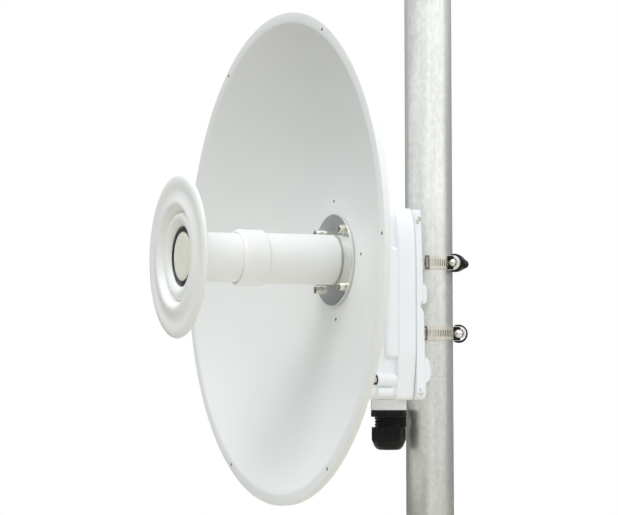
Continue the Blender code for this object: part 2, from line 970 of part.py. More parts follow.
# The arch over a strap's screw: outward is its own +X, across the strap its own +Y.
def arch_outline(radius, foot):
    return [(foot, -radius)] + arc((0, 0), (radius, radius), -math.pi / 2, math.pi / 2, 14) + [(foot, radius)]


def arch_mesh(name):
    foot = -SCREW_REACH + POLE_RADIUS * 0.7
    inner = ARCH_RADIUS - ARCH_WALL
    outline = arch_outline(ARCH_RADIUS, foot) + arch_outline(inner, foot)[::-1]
    return smooth(plate_mesh(name, [outline], ARCH_FAR - ARCH_NEAR))


def strap_fastener(tag, height, angle, hug):
    out = (math.cos(angle), math.sin(angle))
    along = (-math.sin(angle), math.cos(angle))

    def at(reach, distance):
        return (
            reach * out[0] + distance * along[0],
            reach * out[1] + distance * along[1],
            height,
        )

    arch_lie = (math.pi / 2, 0, angle)
    arch = part(
        f"strap_housing_{tag}",
        arch_mesh(f"strap_housing_{tag}"),
        bright_steel,
        at(SCREW_REACH, (ARCH_NEAR + ARCH_FAR) / 2),
        arch_lie,
        head,
    )
    clear = cutter(
        f"pole_clear_{tag}",
        cylinder_mesh("pole_clear", POLE_RADIUS + GAP, 0.030, 64),
        (0, 0, height),
        parent=head,
    )
    cut(arch, clear)

    # Heights on these two profiles run back along the screw's axis towards its near end
    near, far = -ARCH_NEAR + 0.0012, 0.0100
    turned(
        f"strap_screw_{tag}",
        [
            (0.0, near - 0.0016),
            (0.0016, near - 0.0016),
            (0.0016, near),
            (SHANK_RADIUS + 0.0006, near),
            (SHANK_RADIUS + 0.0010, near - 0.0010),
            (SCREW_RADIUS, near - 0.0024),
            (SCREW_RADIUS, -ARCH_FAR + 0.0004),
            (SHANK_RADIUS, -ARCH_FAR),
            (SHANK_RADIUS, -far),
            (0.0, -far),
        ],
        bright_steel,
        steps=16,
        location=at(SCREW_REACH, 0),
        rotation=arch_lie,
        parent=head,
    )
    skirt = -ARCH_FAR - GAP
    knob = turned(
        f"strap_knob_{tag}",
        [
            (0.0, -far - GAP),
            (SHANK_RADIUS + GAP, -far - GAP),
            (SHANK_RADIUS + GAP, skirt),
            (KNOB_RADIUS - 0.0006, skirt),
            (KNOB_RADIUS, skirt - 0.0006),
            (KNOB_RADIUS - 0.0002, skirt - 0.0028),
            (0.0086, -0.0040),
            (0.0079, -0.0068),
            (0.0066, -0.0100),
            (0.0055, -0.0140),
            (0.0051, -0.0200),
            (0.0046, -0.0240),
            (0.0030, -0.0262),
            (0.0, -0.0268),
        ],
        black_plastic,
        steps=24,
        location=at(SCREW_REACH, 0),
        rotation=arch_lie,
        parent=head,
    )
    cut(knob, hug)


def straps():
    path, leave, grip = strap_path()
    loops = [offset_loop(path, STRAP_SHEET / 2), offset_loop(path, -STRAP_SHEET / 2)]
    for tag, height in STRAP_HEIGHTS.items():
        mesh = smooth(plate_mesh(f"strap_band_{tag}", loops, STRAP_WIDTH))
        part(f"strap_band_{tag}", mesh, bright_steel, (0, 0, height), parent=head)
        hug = cutter(
            f"band_space_{tag}",
            cylinder_mesh("band_space", POLE_RADIUS + STRAP_SHEET + 3 * GAP, 0.030, 64),
            (0, 0, height),
            parent=head,
        )
        strap_fastener(tag, height, STRAP_ANGLES[tag], hug)

        # A dark frame clipped on the band's straight run, with the band showing in its window
        width = STRAP_WIDTH + 0.0004
        frame = [
            rounded_outline(KEEPER_LENGTH / 2, -width / 2, width / 2, (0.0005, 0.0005), (0.0005, 0.0005), 1),
            rounded_outline(0.0008, -0.0040, 0.0040, (0.0003, 0.0003), (0.0003, 0.0003), 1),
        ]
        outward = grip + STRAP_SHEET / 2 + GAP + 0.0005
        spot = (
            outward * math.cos(leave) + KEEPER_AT * math.sin(leave),
            outward * math.sin(leave) - KEEPER_AT * math.cos(leave),
            height,
        )
        part(
            f"strap_keeper_{tag}",
            plate_mesh(f"strap_keeper_{tag}", frame, 0.0010),
            black_rubber,
            spot,
            (math.pi / 2, 0, leave + math.pi / 2),
            head,
        )


def build():
    mast()
    reflector()
    hub()
    feed()
    housing_body()
    housing_seal()
    housing_screws(housing_lid())
    gland()
    straps()


build()
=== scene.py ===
# Looks of the microwave dish antenna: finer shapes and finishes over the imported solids.
# Metres, +Z up, the dish looks along -Y, the mast stands on the origin.
import math

import bmesh
import bpy
from mathutils import Matrix, Vector


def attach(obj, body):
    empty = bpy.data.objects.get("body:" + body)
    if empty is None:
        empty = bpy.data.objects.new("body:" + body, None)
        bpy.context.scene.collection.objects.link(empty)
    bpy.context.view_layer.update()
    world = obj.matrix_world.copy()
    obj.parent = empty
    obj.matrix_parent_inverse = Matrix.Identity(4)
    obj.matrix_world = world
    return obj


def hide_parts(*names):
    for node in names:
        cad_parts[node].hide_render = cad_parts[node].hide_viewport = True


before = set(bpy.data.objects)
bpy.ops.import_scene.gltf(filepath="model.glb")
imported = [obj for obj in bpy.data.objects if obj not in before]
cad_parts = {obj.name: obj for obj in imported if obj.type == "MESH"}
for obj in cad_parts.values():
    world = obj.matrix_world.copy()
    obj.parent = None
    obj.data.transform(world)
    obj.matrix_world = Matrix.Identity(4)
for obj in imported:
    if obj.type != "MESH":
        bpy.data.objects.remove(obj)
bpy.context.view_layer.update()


def moved(x, y, z):
    return Matrix.Translation((x, y, z))


def spun(angle, axis="Z"):
    return Matrix.Rotation(angle, 4, axis)


# Corners of a profile, given in millimetres
def mm(*corners):
    return [tuple(value / 1000 for value in corner) for corner in corners]


quarter = math.pi / 2
fullTurn = math.tau
axisHeight = 0.650  # the dish's axis above the foot
rimDepth = -0.1784  # the rim's plane
hubDepth = -0.1105  # the hub's face
feedDroop = math.radians(0.4)  # the feed leans down about the hub's face
strapHeights = {"upper": -0.001, "lower": -0.075}
sides = {"near": 1, "far": -1}
clearance = 0.0003
spare = 0.001  # how far a cutting tool reaches past the work
facing = moved(0, 0, axisHeight) @ spun(quarter, "X")  # own X across, own Y up, own Z forward
onDish = moved(0, rimDepth, axisHeight) @ spun(quarter, "X")
onFeed = moved(0, hubDepth, axisHeight) @ spun(feedDroop, "X") @ moved(0, -hubDepth, -axisHeight) @ onDish
print("frame loaded:", len(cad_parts), "nodes")


# Shader maths: an expression on wrapped sockets adds its Math nodes
def plug(tree, socket, value):
    if isinstance(value, Wire):
        tree.links.new(value.socket, socket)
    elif socket.type == "RGBA" and len(value) == 3:
        socket.default_value = (*value, 1.0)
    else:
        socket.default_value = value


class Wire:
    def __init__(self, tree, socket):
        self.tree = tree
        self.socket = socket

    def maths(self, operation, one, two):
        node = self.tree.nodes.new("ShaderNodeMath")
        node.operation = operation
        plug(self.tree, node.inputs[0], one)
        plug(self.tree, node.inputs[1], two)
        return Wire(self.tree, node.outputs[0])

    def __add__(self, other):
        return self.maths("ADD", self, other)

    def __radd__(self, other):
        return self.maths("ADD", other, self)

    def __sub__(self, other):
        return self.maths("SUBTRACT", self, other)

    def __rsub__(self, other):
        return self.maths("SUBTRACT", other, self)

    def __mul__(self, other):
        return self.maths("MULTIPLY", self, other)

    def __rmul__(self, other):
        return self.maths("MULTIPLY", other, self)

    def __pow__(self, other):
        return self.maths("POWER", self, other)


class Graph:
    def __init__(self, owner):
        owner.use_nodes = True
        self.tree = owner.node_tree
        self.tree.nodes.clear()

    def node(self, kind, settings=None, sockets=None, output=0):
        made = self.tree.nodes.new("ShaderNode" + kind)
        for key, value in (settings or {}).items():
            if key == "stops":
                ramp = made.color_ramp.elements
                ramp.remove(ramp[1])
                for i, (at, tone) in enumerate(value):
                    stop = ramp.new(at) if i else ramp[0]
                    stop.position = at
                    stop.color = (*tone, 1.0)
            else:
                setattr(made, key, value)
        for key, value in (sockets or {}).items():
            plug(self.tree, made.inputs[key], value)
        return Wire(self.tree, made.outputs[output]) if made.outputs else None


class Finish(Graph):
    def __init__(self, name):
        self.material = bpy.data.materials.new(name)
        super().__init__(self.material)
        self.spot = self.node("TexCoord", output="Object")

    def stretched(self, along):
        if along is None:
            return self.spot
        return self.node("VectorMath", {"operation": "MULTIPLY"}, {0: self.spot, 1: along})

    def noise(self, scale, detail=3.0, rough=0.5, along=None):
        values = {"Vector": self.stretched(along), "Scale": scale, "Detail": detail, "Roughness": rough}
        return self.node("TexNoise", {}, values, "Fac")

    def flakes(self, scale, along=None):  # a level for each cell
        cells = self.node("TexVoronoi", {}, {"Vector": self.stretched(along), "Scale": scale}, "Color")
        return self.node("SeparateColor", {}, {"Color": cells}, "Red")

    def spread(self, value, low, high):
        return self.node("MapRange", {"clamp": True}, {"Value": value, 1: low, 2: high})

    def blend(self, factor, one, two):
        return self.node("Mix", {"data_type": "RGBA"}, {0: factor, 6: one, 7: two}, 2)

    def bump(self, height, distance):
        return self.node("Bump", {}, {"Height": height, "Distance": distance, "Strength": 1.0})

    def surface(self, values):
        shader = self.node("BsdfPrincipled", {}, values)
        self.node("OutputMaterial", {}, {"Surface": shader})
        return self.material


# A coat or a moulding: a faint drift of tone, a fine grain, and a little dust
def coated(name, tone, shade, grain, grainDepth, roughness, coat=0.0, dust=None, shine=0.5):
    finish = Finish(name)
    drift = finish.spread(finish.noise(7.0, 3.0), 0.35, 0.65)
    colour = finish.blend(drift, shade, tone)
    if dust:
        specks = finish.spread(finish.noise(260.0, 2.0, 0.6), 0.60, 0.78)
        colour = finish.blend(specks * dust[1], colour, dust[0])
    peel = finish.noise(grain, 2.0, 0.55)
    return finish.surface({
        "Base Color": colour,
        "Roughness": roughness + (finish.noise(35.0, 4.0) - 0.5) * 0.12,
        "Normal": finish.bump(peel, grainDepth),
        "Coat Weight": coat,
        "Coat Roughness": 0.12,
        "Specular IOR Level": shine,
    })


# Dull zinc on drawn tube: fine streaks down it, soft blotches, a faint spangle, small pits and rub marks
def galvanised(name, dark, light, roughness):
    finish = Finish(name)
    draw = finish.noise(5.0, 4.0, 0.6, (60.0, 60.0, 1.0))
    blotch = finish.noise(17.0, 5.0, 0.6, (1.0, 1.0, 0.7))
    spangle = finish.flakes(330.0, (1.0, 1.0, 0.6))
    tone = finish.spread(0.42 * draw + 0.44 * blotch + 0.14 * spangle, 0.34, 0.66)
    pits = finish.spread(finish.noise(170.0, 3.0, 0.7), 0.66, 0.74)
    rubs = finish.spread(finish.noise(16.0, 1.0, 0.4, (1.0, 1.0, 18.0)), 0.74, 0.78)
    colour = finish.blend(tone, dark, light)
    colour = finish.blend(pits * 0.35, colour, (0.33, 0.34, 0.32))
    colour = finish.blend(rubs * 0.25, colour, (0.45, 0.46, 0.45))
    height = 0.7 * finish.noise(420.0, 3.0) + 0.3 * draw - 0.5 * pits
    return finish.surface({
        "Base Color": colour,
        "Roughness": roughness + (spangle - 0.5) * 0.06 + (1.0 - tone) * 0.10,
        "Metallic": 0.78,
        "Normal": finish.bump(height, 0.00008),
    })


# Rolled or turned metal with fine lines
def bareMetal(name, tone, shade, roughness, lines, along, metal=1.0):
    finish = Finish(name)
    drawn = finish.noise(lines, 3.0, 0.6, along)
    smear = finish.spread(finish.noise(90.0, 4.0, 0.6), 0.38, 0.66)
    return finish.surface({
        "Base Color": finish.blend(smear, shade, tone),
        "Roughness": roughness + (drawn - 0.5) * 0.14 + (1.0 - smear) * 0.08,
        "Metallic": metal,
        "Normal": finish.bump(drawn, 0.00002),
    })


# Dark plate metal with a fine sparkle
def sparkleMetal(name, dark, light, roughness):
    finish = Finish(name)
    glint = finish.flakes(2200.0)
    drift = finish.spread(finish.noise(30.0, 3.0), 0.35, 0.65)
    return finish.surface({
        "Base Color": finish.blend(0.7 * glint ** 3.0 + 0.3 * drift, dark, light),
        "Roughness": roughness + (glint - 0.5) * 0.16,
        "Metallic": 0.85,
        "Normal": finish.bump(glint, 0.00003),
    })


evenly = (1.0, 1.0, 1.0)
ringed = (1.0, 1.0, 22.0)  # lines that run round the mast
finishes = {
    "reflector": coated(
        "reflector_powder_coat", (0.865, 0.882, 0.872), (0.848, 0.865, 0.853), 900.0, 0.00006, 0.42,
        dust=((0.64, 0.63, 0.59), 0.08),
    ),
    "feed": coated(
        "feed_tube_plastic", (0.930, 0.928, 0.920), (0.915, 0.912, 0.900), 500.0, 0.00003, 0.34, coat=0.15
    ),
    "splash": coated(
        "splash_disc_plastic", (0.910, 0.918, 0.900), (0.890, 0.898, 0.876), 600.0, 0.00003, 0.38, coat=0.1
    ),
    "housing": coated(
        "housing_cast_coat", (0.955, 0.975, 1.0), (0.945, 0.963, 0.995), 1500.0, 0.00008, 0.40,
        dust=((0.66, 0.67, 0.68), 0.06),
    ),
    "black": coated(
        "black_moulding", (0.0065, 0.0068, 0.0066), (0.0040, 0.0042, 0.0040), 1100.0, 0.00004, 0.30,
        dust=((0.035, 0.033, 0.030), 0.25), shine=0.22,
    ),
    "rubber": coated(
        "black_rubber", (0.008, 0.008, 0.008), (0.005, 0.005, 0.005), 1800.0, 0.00003, 0.24, shine=0.55
    ),
    "centre": coated(
        "feed_cap_moulding", (0.84, 0.835, 0.74), (0.80, 0.795, 0.70), 800.0, 0.00008, 0.46,
        dust=((0.58, 0.58, 0.51), 0.35),
    ),
    "neck": coated("neck_sleeve_grey", (0.955, 0.98, 1.0), (0.94, 0.965, 0.99), 900.0, 0.00005, 0.40),
    "seam": coated("seam_gasket_grey", (0.66, 0.68, 0.71), (0.60, 0.62, 0.65), 1200.0, 0.00005, 0.6),
    "zinc": galvanised("galvanised_tube", (0.70, 0.70, 0.66), (0.91, 0.905, 0.86), 0.31),
    "hub": sparkleMetal("hub_disc_metal", (0.70, 0.735, 0.71), (0.85, 0.875, 0.85), 0.17),
    "steel": bareMetal("stainless_steel", (0.86, 0.805, 0.70), (0.76, 0.705, 0.61), 0.34, 60.0, ringed, 0.6),
    "bright": bareMetal("plated_screw_steel", (0.94, 0.92, 0.88), (0.78, 0.72, 0.60), 0.14, 240.0, evenly),
    "arch": bareMetal("pressed_arch_steel", (0.97, 0.965, 0.94), (0.92, 0.90, 0.85), 0.28, 90.0, evenly, 0.45),
    # dark steel for the band frames, standing in part for shade there; on the bands' slot walls it is painted
    # shade
    "keeper": bareMetal(
        "dark_frame_steel_and_painted_shade", (0.26, 0.28, 0.25), (0.13, 0.15, 0.13), 0.38, 120.0, (1.0, 1.0, 9.0), 0.5
    ),
    "footRing": bareMetal("turned_foot_ring", (0.64, 0.63, 0.59), (0.52, 0.51, 0.47), 0.34, 160.0, evenly, 0.6),
    # painted shade: a dark metal for the reflector's hole walls, standing for the shade inside the holes
    "holeShade": bareMetal("hole_wall_painted_shade", (0.30, 0.31, 0.34), (0.20, 0.21, 0.23), 0.5, 800.0, evenly),
}
print("finishes made:", len(finishes))


# Corners given as (x, y, radius) become arcs; the rest stay sharp
def filleted(points, steps=5, closed=True):
    made = []
    last = len(points) - 1
    for i, point in enumerate(points):
        corner = Vector(point[:2])
        radius = point[2] if len(point) > 2 else 0.0
        if radius <= 0 or (not closed and i in (0, last)):
            made.append((corner.x, corner.y))
            continue
        back = Vector(points[i - 1][:2]) - corner
        on = Vector(points[(i + 1) % len(points)][:2]) - corner
        half = back.angle(on) / 2
        reach = min(radius / math.tan(half), back.length * 0.49, on.length * 0.49)
        radius = reach * math.tan(half)
        centre = corner + (back.normalized() + on.normalized()).normalized() * (radius / math.sin(half))
        start = corner + back.normalized() * reach - centre
        end = corner + on.normalized() * reach - centre
        first = math.atan2(start.y, start.x)
        swing = (math.atan2(end.y, end.x) - first + math.pi) % fullTurn - math.pi
        made += arc(centre, (radius, radius), first, first + swing, steps)
    return made


def arc(centre, reach, start, end, steps):
    turns = [start + (end - start) * i / steps for i in range(steps + 1)]
    return [(centre[0] + reach[0] * math.cos(t), centre[1] + reach[1] * math.sin(t)) for t in turns]


def around(radius, count, turnBy=0.0):
    turns = [turnBy + fullTurn * k / count for k in range(count)]
    return [(radius * math.cos(t), radius * math.sin(t)) for t in turns]


def rectangle(half, low, high, *rounding):
    return [(x, y, *rounding) for x, y in ((half, low), (half, high), (-half, high), (-half, low))]


def roundedBox(half, low, high, lowCorner, highCorner, steps=8):
    made = []
    for turns, side in enumerate((1, -1, -1, 1)):
        level, corner = (high - highCorner, highCorner) if turns < 2 else (low + lowCorner, lowCorner)
        centre = (side * (half - corner), level)
        made += arc(centre, (corner, corner), turns * quarter, (turns + 1) * quarter, steps)
    return made


# A profile's own heights, counted from a level
def lifted(profile, level):
    return [(radius, level + height, *rounding) for radius, height, *rounding in profile]


def atLevel(loop, level):
    return [(x, y, level) for x, y in loop]


# Moves a loop inwards by an equal distance; loops run anticlockwise
def inset(loop, distance):
    made = []
    for i, (x, y) in enumerate(loop):
        (ax, ay), (bx, by) = loop[i - 1], loop[(i + 1) % len(loop)]
        one, two = Vector((x - ax, y - ay)), Vector((bx - x, by - y))
        if one.length < 1e-9 or two.length < 1e-9:
            one = two = max(one, two, key=lambda edge: edge.length)
        one.normalize()
        two.normalize()
        inward = Vector((-one.y - two.y, one.x + two.x))
        inward *= 2 / max(inward.length_squared, 0.4)
        made.append((x + distance * inward.x, y + distance * inward.y))
    return made


def meshOf(work):
    bmesh.ops.remove_doubles(work, verts=work.verts, dist=1e-7)
    bmesh.ops.recalc_face_normals(work, faces=work.faces)
    mesh = bpy.data.meshes.new("shape")
    work.to_mesh(mesh)
    work.free()
    return mesh


def softened(mesh, angle=34.0):
    mesh.shade_smooth()
    mesh.set_sharp_from_angle(angle=math.radians(angle))
    return mesh


# Faces between rows of equal counts; a row that is one point over and over closes there
def bridged(work, rows, closed):
    for one, two in zip(rows, rows[1:] + rows[:1] if closed else rows[1:]):
        for k in range(len(one)):
            n = (k + 1) % len(one)
            corners = list(dict.fromkeys((one[k], two[k], two[n], one[n])))
            if len(corners) > 2:
                work.faces.new(corners)


# A solid through rings of equal counts
def lofted(rings, closed=False):
    work = bmesh.new()
    rows = [[work.verts.new(point) for point in ring] for ring in rings]
    bridged(work, rows, closed)
    if not closed:
        work.faces.new(rows[0])
        work.faces.new(rows[-1])
    return meshOf(work)


# A profile of (radius, height) turned about its own Z; one on the axis closes there
def turned(profile, place, count=96, closed=False):
    work = bmesh.new()
    rows = []
    for radius, height in profile:
        if radius < 1e-7:
            rows.append([work.verts.new((0, 0, height))] * count)
        else:
            rows.append([work.verts.new(point) for point in atLevel(around(radius, count), height)])
    bridged(work, rows, closed)
    mesh = meshOf(work)
    mesh.transform(place)
    return softened(mesh)


# The same with rounded corners: a solid if it starts on the axis, and else a ring
def lathed(profile, place, count, steps=5):
    isRing = profile[0][0] > 0
    return turned(filleted(profile, steps, isRing), place, count, isRing)


# Steps of a rounded edge: how far in each one is, and how far along
def rounded(edge, steps):
    turns = [quarter * k / steps for k in range(steps + 1)] if edge else [0.0]
    return [(edge * (1 - math.sin(t)), edge * (1 - math.cos(t))) for t in turns]


# A flat outline given depth along its own Z, with both edges rounded
def slab(outline, low, high, lowEdge=0.0, highEdge=0.0, steps=4, place=Matrix()):
    rings = []
    for level, edge, inward in ((low, lowEdge, 1), (high, highEdge, -1)):
        rows = [atLevel(inset(outline, off), level + inward * along) for off, along in rounded(edge, steps)]
        rings += rows[::inward]
    mesh = lofted(rings)
    mesh.transform(place)
    return softened(mesh)


# An outline of (depth, height) standing across X
def across(x=0.0):
    return moved(x, 0, axisHeight) @ Matrix(((0, 0, 1, 0), (1, 0, 0, 0), (0, 1, 0, 0), (0, 0, 0, 1)))


# Own Z along a direction
def aimed(spot, way):
    return Matrix.Translation(spot) @ Vector(way).to_track_quat("Z", "Y").to_matrix().to_4x4()


def rod(radius, start, end, count=32, edge=0.0):
    way = Vector(end) - Vector(start)
    length = way.length
    profile = [(0, length), (radius, length, edge), (radius, 0, edge), (0, 0)]
    return lathed(profile, aimed(start, way), count)


# A rod along the depth; its height is counted from the dish's axis
def pin(radius, x, height, start, end, count, edge=0.0):
    return rod(radius, (x, start, axisHeight + height), (x, end, axisHeight + height), count, edge)


# Round the mast, to cut what lies against it
def mastRod(radius, low, high):
    return rod(radius, (0, 0, axisHeight + low), (0, 0, axisHeight + high), 128)


def placed(name, data):
    made = bpy.data.objects.new(name, data)
    bpy.context.scene.collection.objects.link(made)
    return made


# What an object's modifiers make of it; the object and its helpers go
def applied(body, helpers=()):
    bpy.context.view_layer.update()
    made = bpy.data.meshes.new_from_object(body.evaluated_get(bpy.context.evaluated_depsgraph_get()))
    for used in (body, *helpers):
        bpy.data.objects.remove(used, do_unlink=True)
    return made


# Cuts from or fuses to a mesh, one tool at a time
def worked(mesh, tools, operation="DIFFERENCE", angle=34.0):
    body = placed("work", mesh)
    helpers = [placed("tool", tool) for tool in tools]
    for helper in helpers:
        step = body.modifiers.new("work", "BOOLEAN")
        step.operation = operation
        step.object = helper
        step.solver = "EXACT"
    return softened(applied(body, helpers), angle)


def joined(meshes):
    work = bmesh.new()
    for mesh in meshes:
        work.from_mesh(mesh)
    made = bpy.data.meshes.new("shape")
    work.to_mesh(made)
    work.free()
    return made


def piece(name, mesh, finish, node=None, body="antenna_head", even=False):
    mesh.name = name
    made = placed(name, mesh)
    mesh.materials.clear()
    mesh.materials.append(finishes[finish])
    if even:
        made.modifiers.new("even shading", "WEIGHTED_NORMAL").keep_sharp = True
    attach(made, body)
    if node:
        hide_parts(node)


# Reflector: a spun sheet with a flat middle, a flat rim and a lip turned back
reflector = {
    "radius": 0.250,
    "opening": 0.239,
    "flat": 0.065,
    "depth": 0.0682,
    "sheet": 0.0015,
    "lip": 0.0058,
    "fold": 0.0014,
    "innerFold": 0.0006,
    "flatEase": 0.0012,
    "rimEase": (0.0003, 0.0004),  # inside and outside the opening
    "bore": 0.0262,
    "rings": 44,
    "count": 288,
    "drillReach": 0.006,
    "rimHoles": (0.2438, math.radians(1.5), 6, 0.0017),  # circle, turn, how many, radius
    "hubHoles": (0.0614, math.radians(2.0), 4, 0.0017),
    "boltHoles": (0.0415, math.radians(45.5), 4, 0.0028),
}


def bowlDepth(radius):
    span = reflector["opening"] ** 2 - reflector["flat"] ** 2
    return reflector["depth"] * (reflector["opening"] ** 2 - radius**2) / span


def makeReflector():
    radius, opening, flat = reflector["radius"], reflector["opening"], reflector["flat"]
    depth, sheet, lip, bore = reflector["depth"], reflector["sheet"], reflector["lip"], reflector["bore"]
    inside, outside = reflector["rimEase"]
    radii = [flat + (opening - flat) * k / reflector["rings"] for k in range(1, reflector["rings"] + 1)]
    front = [(bore, -depth), (flat - reflector["flatEase"], -depth)]
    front += [(r, -bowlDepth(r)) for r in radii[:-1] + [opening - inside]]
    edge = filleted([(opening, 0), (radius, 0, reflector["fold"]), (radius, -lip)], closed=False)
    front += [(opening + outside, 0.0)] + edge[1:]
    back = [(bore, -depth - sheet), (flat, -depth - sheet)]
    for r in radii:
        slope = 2 * depth * r / (opening**2 - flat**2)
        back.append((r + sheet * slope * 0.5, -bowlDepth(r) - sheet))
    inner, fold = radius - sheet, reflector["innerFold"]
    back += [(inner - fold, -sheet), (inner, -sheet - fold), (inner, -lip)]
    mesh = turned(front + back[::-1], onDish, reflector["count"], closed=True)
    drills, walls = [], []
    for key, level in (("rimHoles", 0.0), ("hubHoles", depth), ("boltHoles", depth)):
        circle, turnBy, count, holeRadius = reflector[key]
        for x, z in around(circle, count, turnBy):
            start = rimDepth + level - reflector["drillReach"]
            drills.append(pin(holeRadius, x, z, start, start + 2 * reflector["drillReach"], 24))
            walls.append((x, axisHeight + z, holeRadius + 0.0001))
    mesh = worked(mesh, [joined(drills)], angle=24.0)
    piece("reflector_shell", mesh, "reflector", "dish_reflector")
    mesh.materials.append(finishes["holeShade"])
    for face in mesh.polygons:  # painted shade: the holes' walls take a dark metal that stands for the shade inside the holes
        if abs(face.normal.y) < 0.3:
            x, _, z = face.center
            if any(math.hypot(x - wallX, z - wallZ) < reach for wallX, wallZ, reach in walls):
                face.material_index = 1


makeReflector()
print("reflector made")

# Hub: dark disc, the thin ring at the tube's foot, and four socket bolts on two washers
hub = {
    "rear": -0.0679,
    "thick": 0.003,
    "disc": mm((26.2, 3), (47.5, 3, 0.5), (47.5, 0, 0.2), (26.2, 0)),
    "footRing": mm((26.2, 1.1), (26.7, 1.1, 0.4), (26.9, 0, 0.1), (26.2, 0)),
    "boltCircle": 0.0415,
    "boltTurn": math.radians(45.5),
    "shank": 0.0025,
    "reach": 0.0815,
    "drillSpan": (0.055, 0.075),  # behind the rim's plane
    "headTop": 0.0058,
    "head": mm(  # the bolt's head and its two washers, from the disc's face
        (0, 5.8), (4.2, 5.8, 0.5), (4.2, 2.1, 0.2), (3.6, 2.1), (3.6, 1.8), (4.3, 1.8, 0.2),
        (4.3, 1, 0.2), (3.7, 1), (3.7, 0.8), (4.7, 0.8, 0.2), (4.7, 0), (2.5, 0),
    ),
    "socket": (0.0021, 0.0028),  # radius, depth
    "split": mm((3, -0.3), (5.2, -0.6), (5.2, 0.1), (3, 0.3)),
    "splitLevels": (0.0009, 0.0019),
    "boltTwist": (0.6, 1.1),
}


def makeHub():
    bolts = around(hub["boltCircle"], 4, hub["boltTurn"])
    start, end = [rimDepth + depth for depth in hub["drillSpan"]]
    drills = [pin(hub["shank"] + clearance, x, z, start, end, 24) for x, z in bolts]
    disc = lathed(lifted(hub["disc"], hub["rear"]), onDish, 192)
    piece("hub_disc", worked(disc, [joined(drills)], angle=24.0), "hub", "hub_plate")
    seat = hub["rear"] + hub["thick"] + clearance
    ring = lathed(lifted(hub["footRing"], seat), onDish, 128)
    piece("tube_foot_ring", ring, "footRing", "feed_base_ring")

    top = seat + hub["headTop"]
    first, more = hub["boltTwist"]
    socket, socketDepth = hub["socket"]
    splitLow, splitHigh = hub["splitLevels"]
    for i, (x, z) in enumerate(bolts):
        place = onDish @ moved(x, z, 0) @ spun(first + more * i)
        profile = lifted(hub["head"], seat) + [(hub["shank"], -hub["reach"]), (0, -hub["reach"])]
        cuts = [
            slab(around(socket, 6), top - socketDepth, top + spare, place=place),
            slab(hub["split"], seat + splitLow, seat + splitHigh, place=place),
        ]
        mesh = worked(lathed(profile, place, 40, 3), cuts, angle=30.0)
        piece(f"hub_socket_bolt_{i + 1}", mesh, "bright", f"hub_bolt_{i + 1}")


makeHub()
print("hub made")

# Feed: two tubes, the bell collar between them, and the splash disc with its gasket and centre
feed = {
    "wide": 0.0259,
    "narrow": 0.0249,
    "wall": 0.0025,
    "tubeLip": 0.0003,
    "joint": 0.0220,  # these four are counted forward from the rim's plane
    "wideRear": -0.0697,
    "narrowFront": 0.0966,
    "splashFace": 0.1074,
    "collar": mm(
        (24.95, 41.9), (25.75, 43.1, 0.4), (27.2, 42.8, 1), (28.8, 40.1, 1.4), (28.8, 16.2, 1.2),
        (26.35, 14, 0.3), (25.95, 14), (25.95, 38.3), (24.95, 38.3),
    ),
    "spread": 0.020,
    "spreadFrom": 0.031,
    "recess": 0.0094,
    "recessRadius": 0.0301,
    "back": 0.0105,
    "gasket": mm(  # from the recess's floor
        (24.6, 0.8, 0.3), (25.5, 1.5, 0.4), (26.6, 1.4, 0.4), (27.3, 0.4, 0.3), (28.5, 2, 0.5),
        (29.8, 1.6, 0.3), (29.8, 0), (24.6, 0),
    ),
    "centre": mm((0, 2), (21.3, 2, 1), (22.1, 1.6, 0.4), (24.3, 1.4, 0.6), (24.3, 0), (0, 0)),
    "count": 192,
}

# Splash disc: radius, and distance behind its outer face
splashFront = mm(
    (30.1, 7.8), (30.8, 6.6), (32.2, 5), (34.2, 3.7), (36.5, 2.9), (39, 2.7), (41.3, 3.2), (42.7, 4.3),
    (43.7, 5.8), (44.6, 6.4), (45.6, 5.4), (47, 2.8), (48.4, 0.6), (49.8, -0.8), (51.4, -1.4), (53, -1.5),
    (55, -1.2), (57.5, -0.5), (60, 0.1), (63, 0.6), (65.5, 0.7), (68.5, 0.4), (71.5, 0.1), (74.5, 0.1),
    (77.2, 0.5), (79.3, 1.3), (80.4, 2.2), (80.8, 3),
)
splashBack = mm(
    (80.6, 3.6), (79.8, 4.5), (78, 5), (69, 5.1), (60, 5.6), (50, 7), (40, 9), (34, 10.4), (29.7, 11.5),
    (28.6, 13),
)
splashSleeve = mm((28.2, 15.5), (27.8, 16), (25.2, 16), (25.2, 10.5))


# A smooth line through the given points
def eased(points, steps=4):
    made = []
    for i in range(len(points) - 1):
        four = [Vector(points[max(0, min(len(points) - 1, i + k))]) for k in (-1, 0, 1, 2)]
        for k in range(steps):
            t = k / steps
            spot = 0.5 * (
                2 * four[1]
                + (four[2] - four[0]) * t
                + (2 * four[0] - 5 * four[1] + 4 * four[2] - four[3]) * t * t
                + (3 * four[1] - four[0] - 3 * four[2] + four[3]) * t * t * t
            )
            made.append((spot.x, spot.y))
    return made + [tuple(points[-1])]


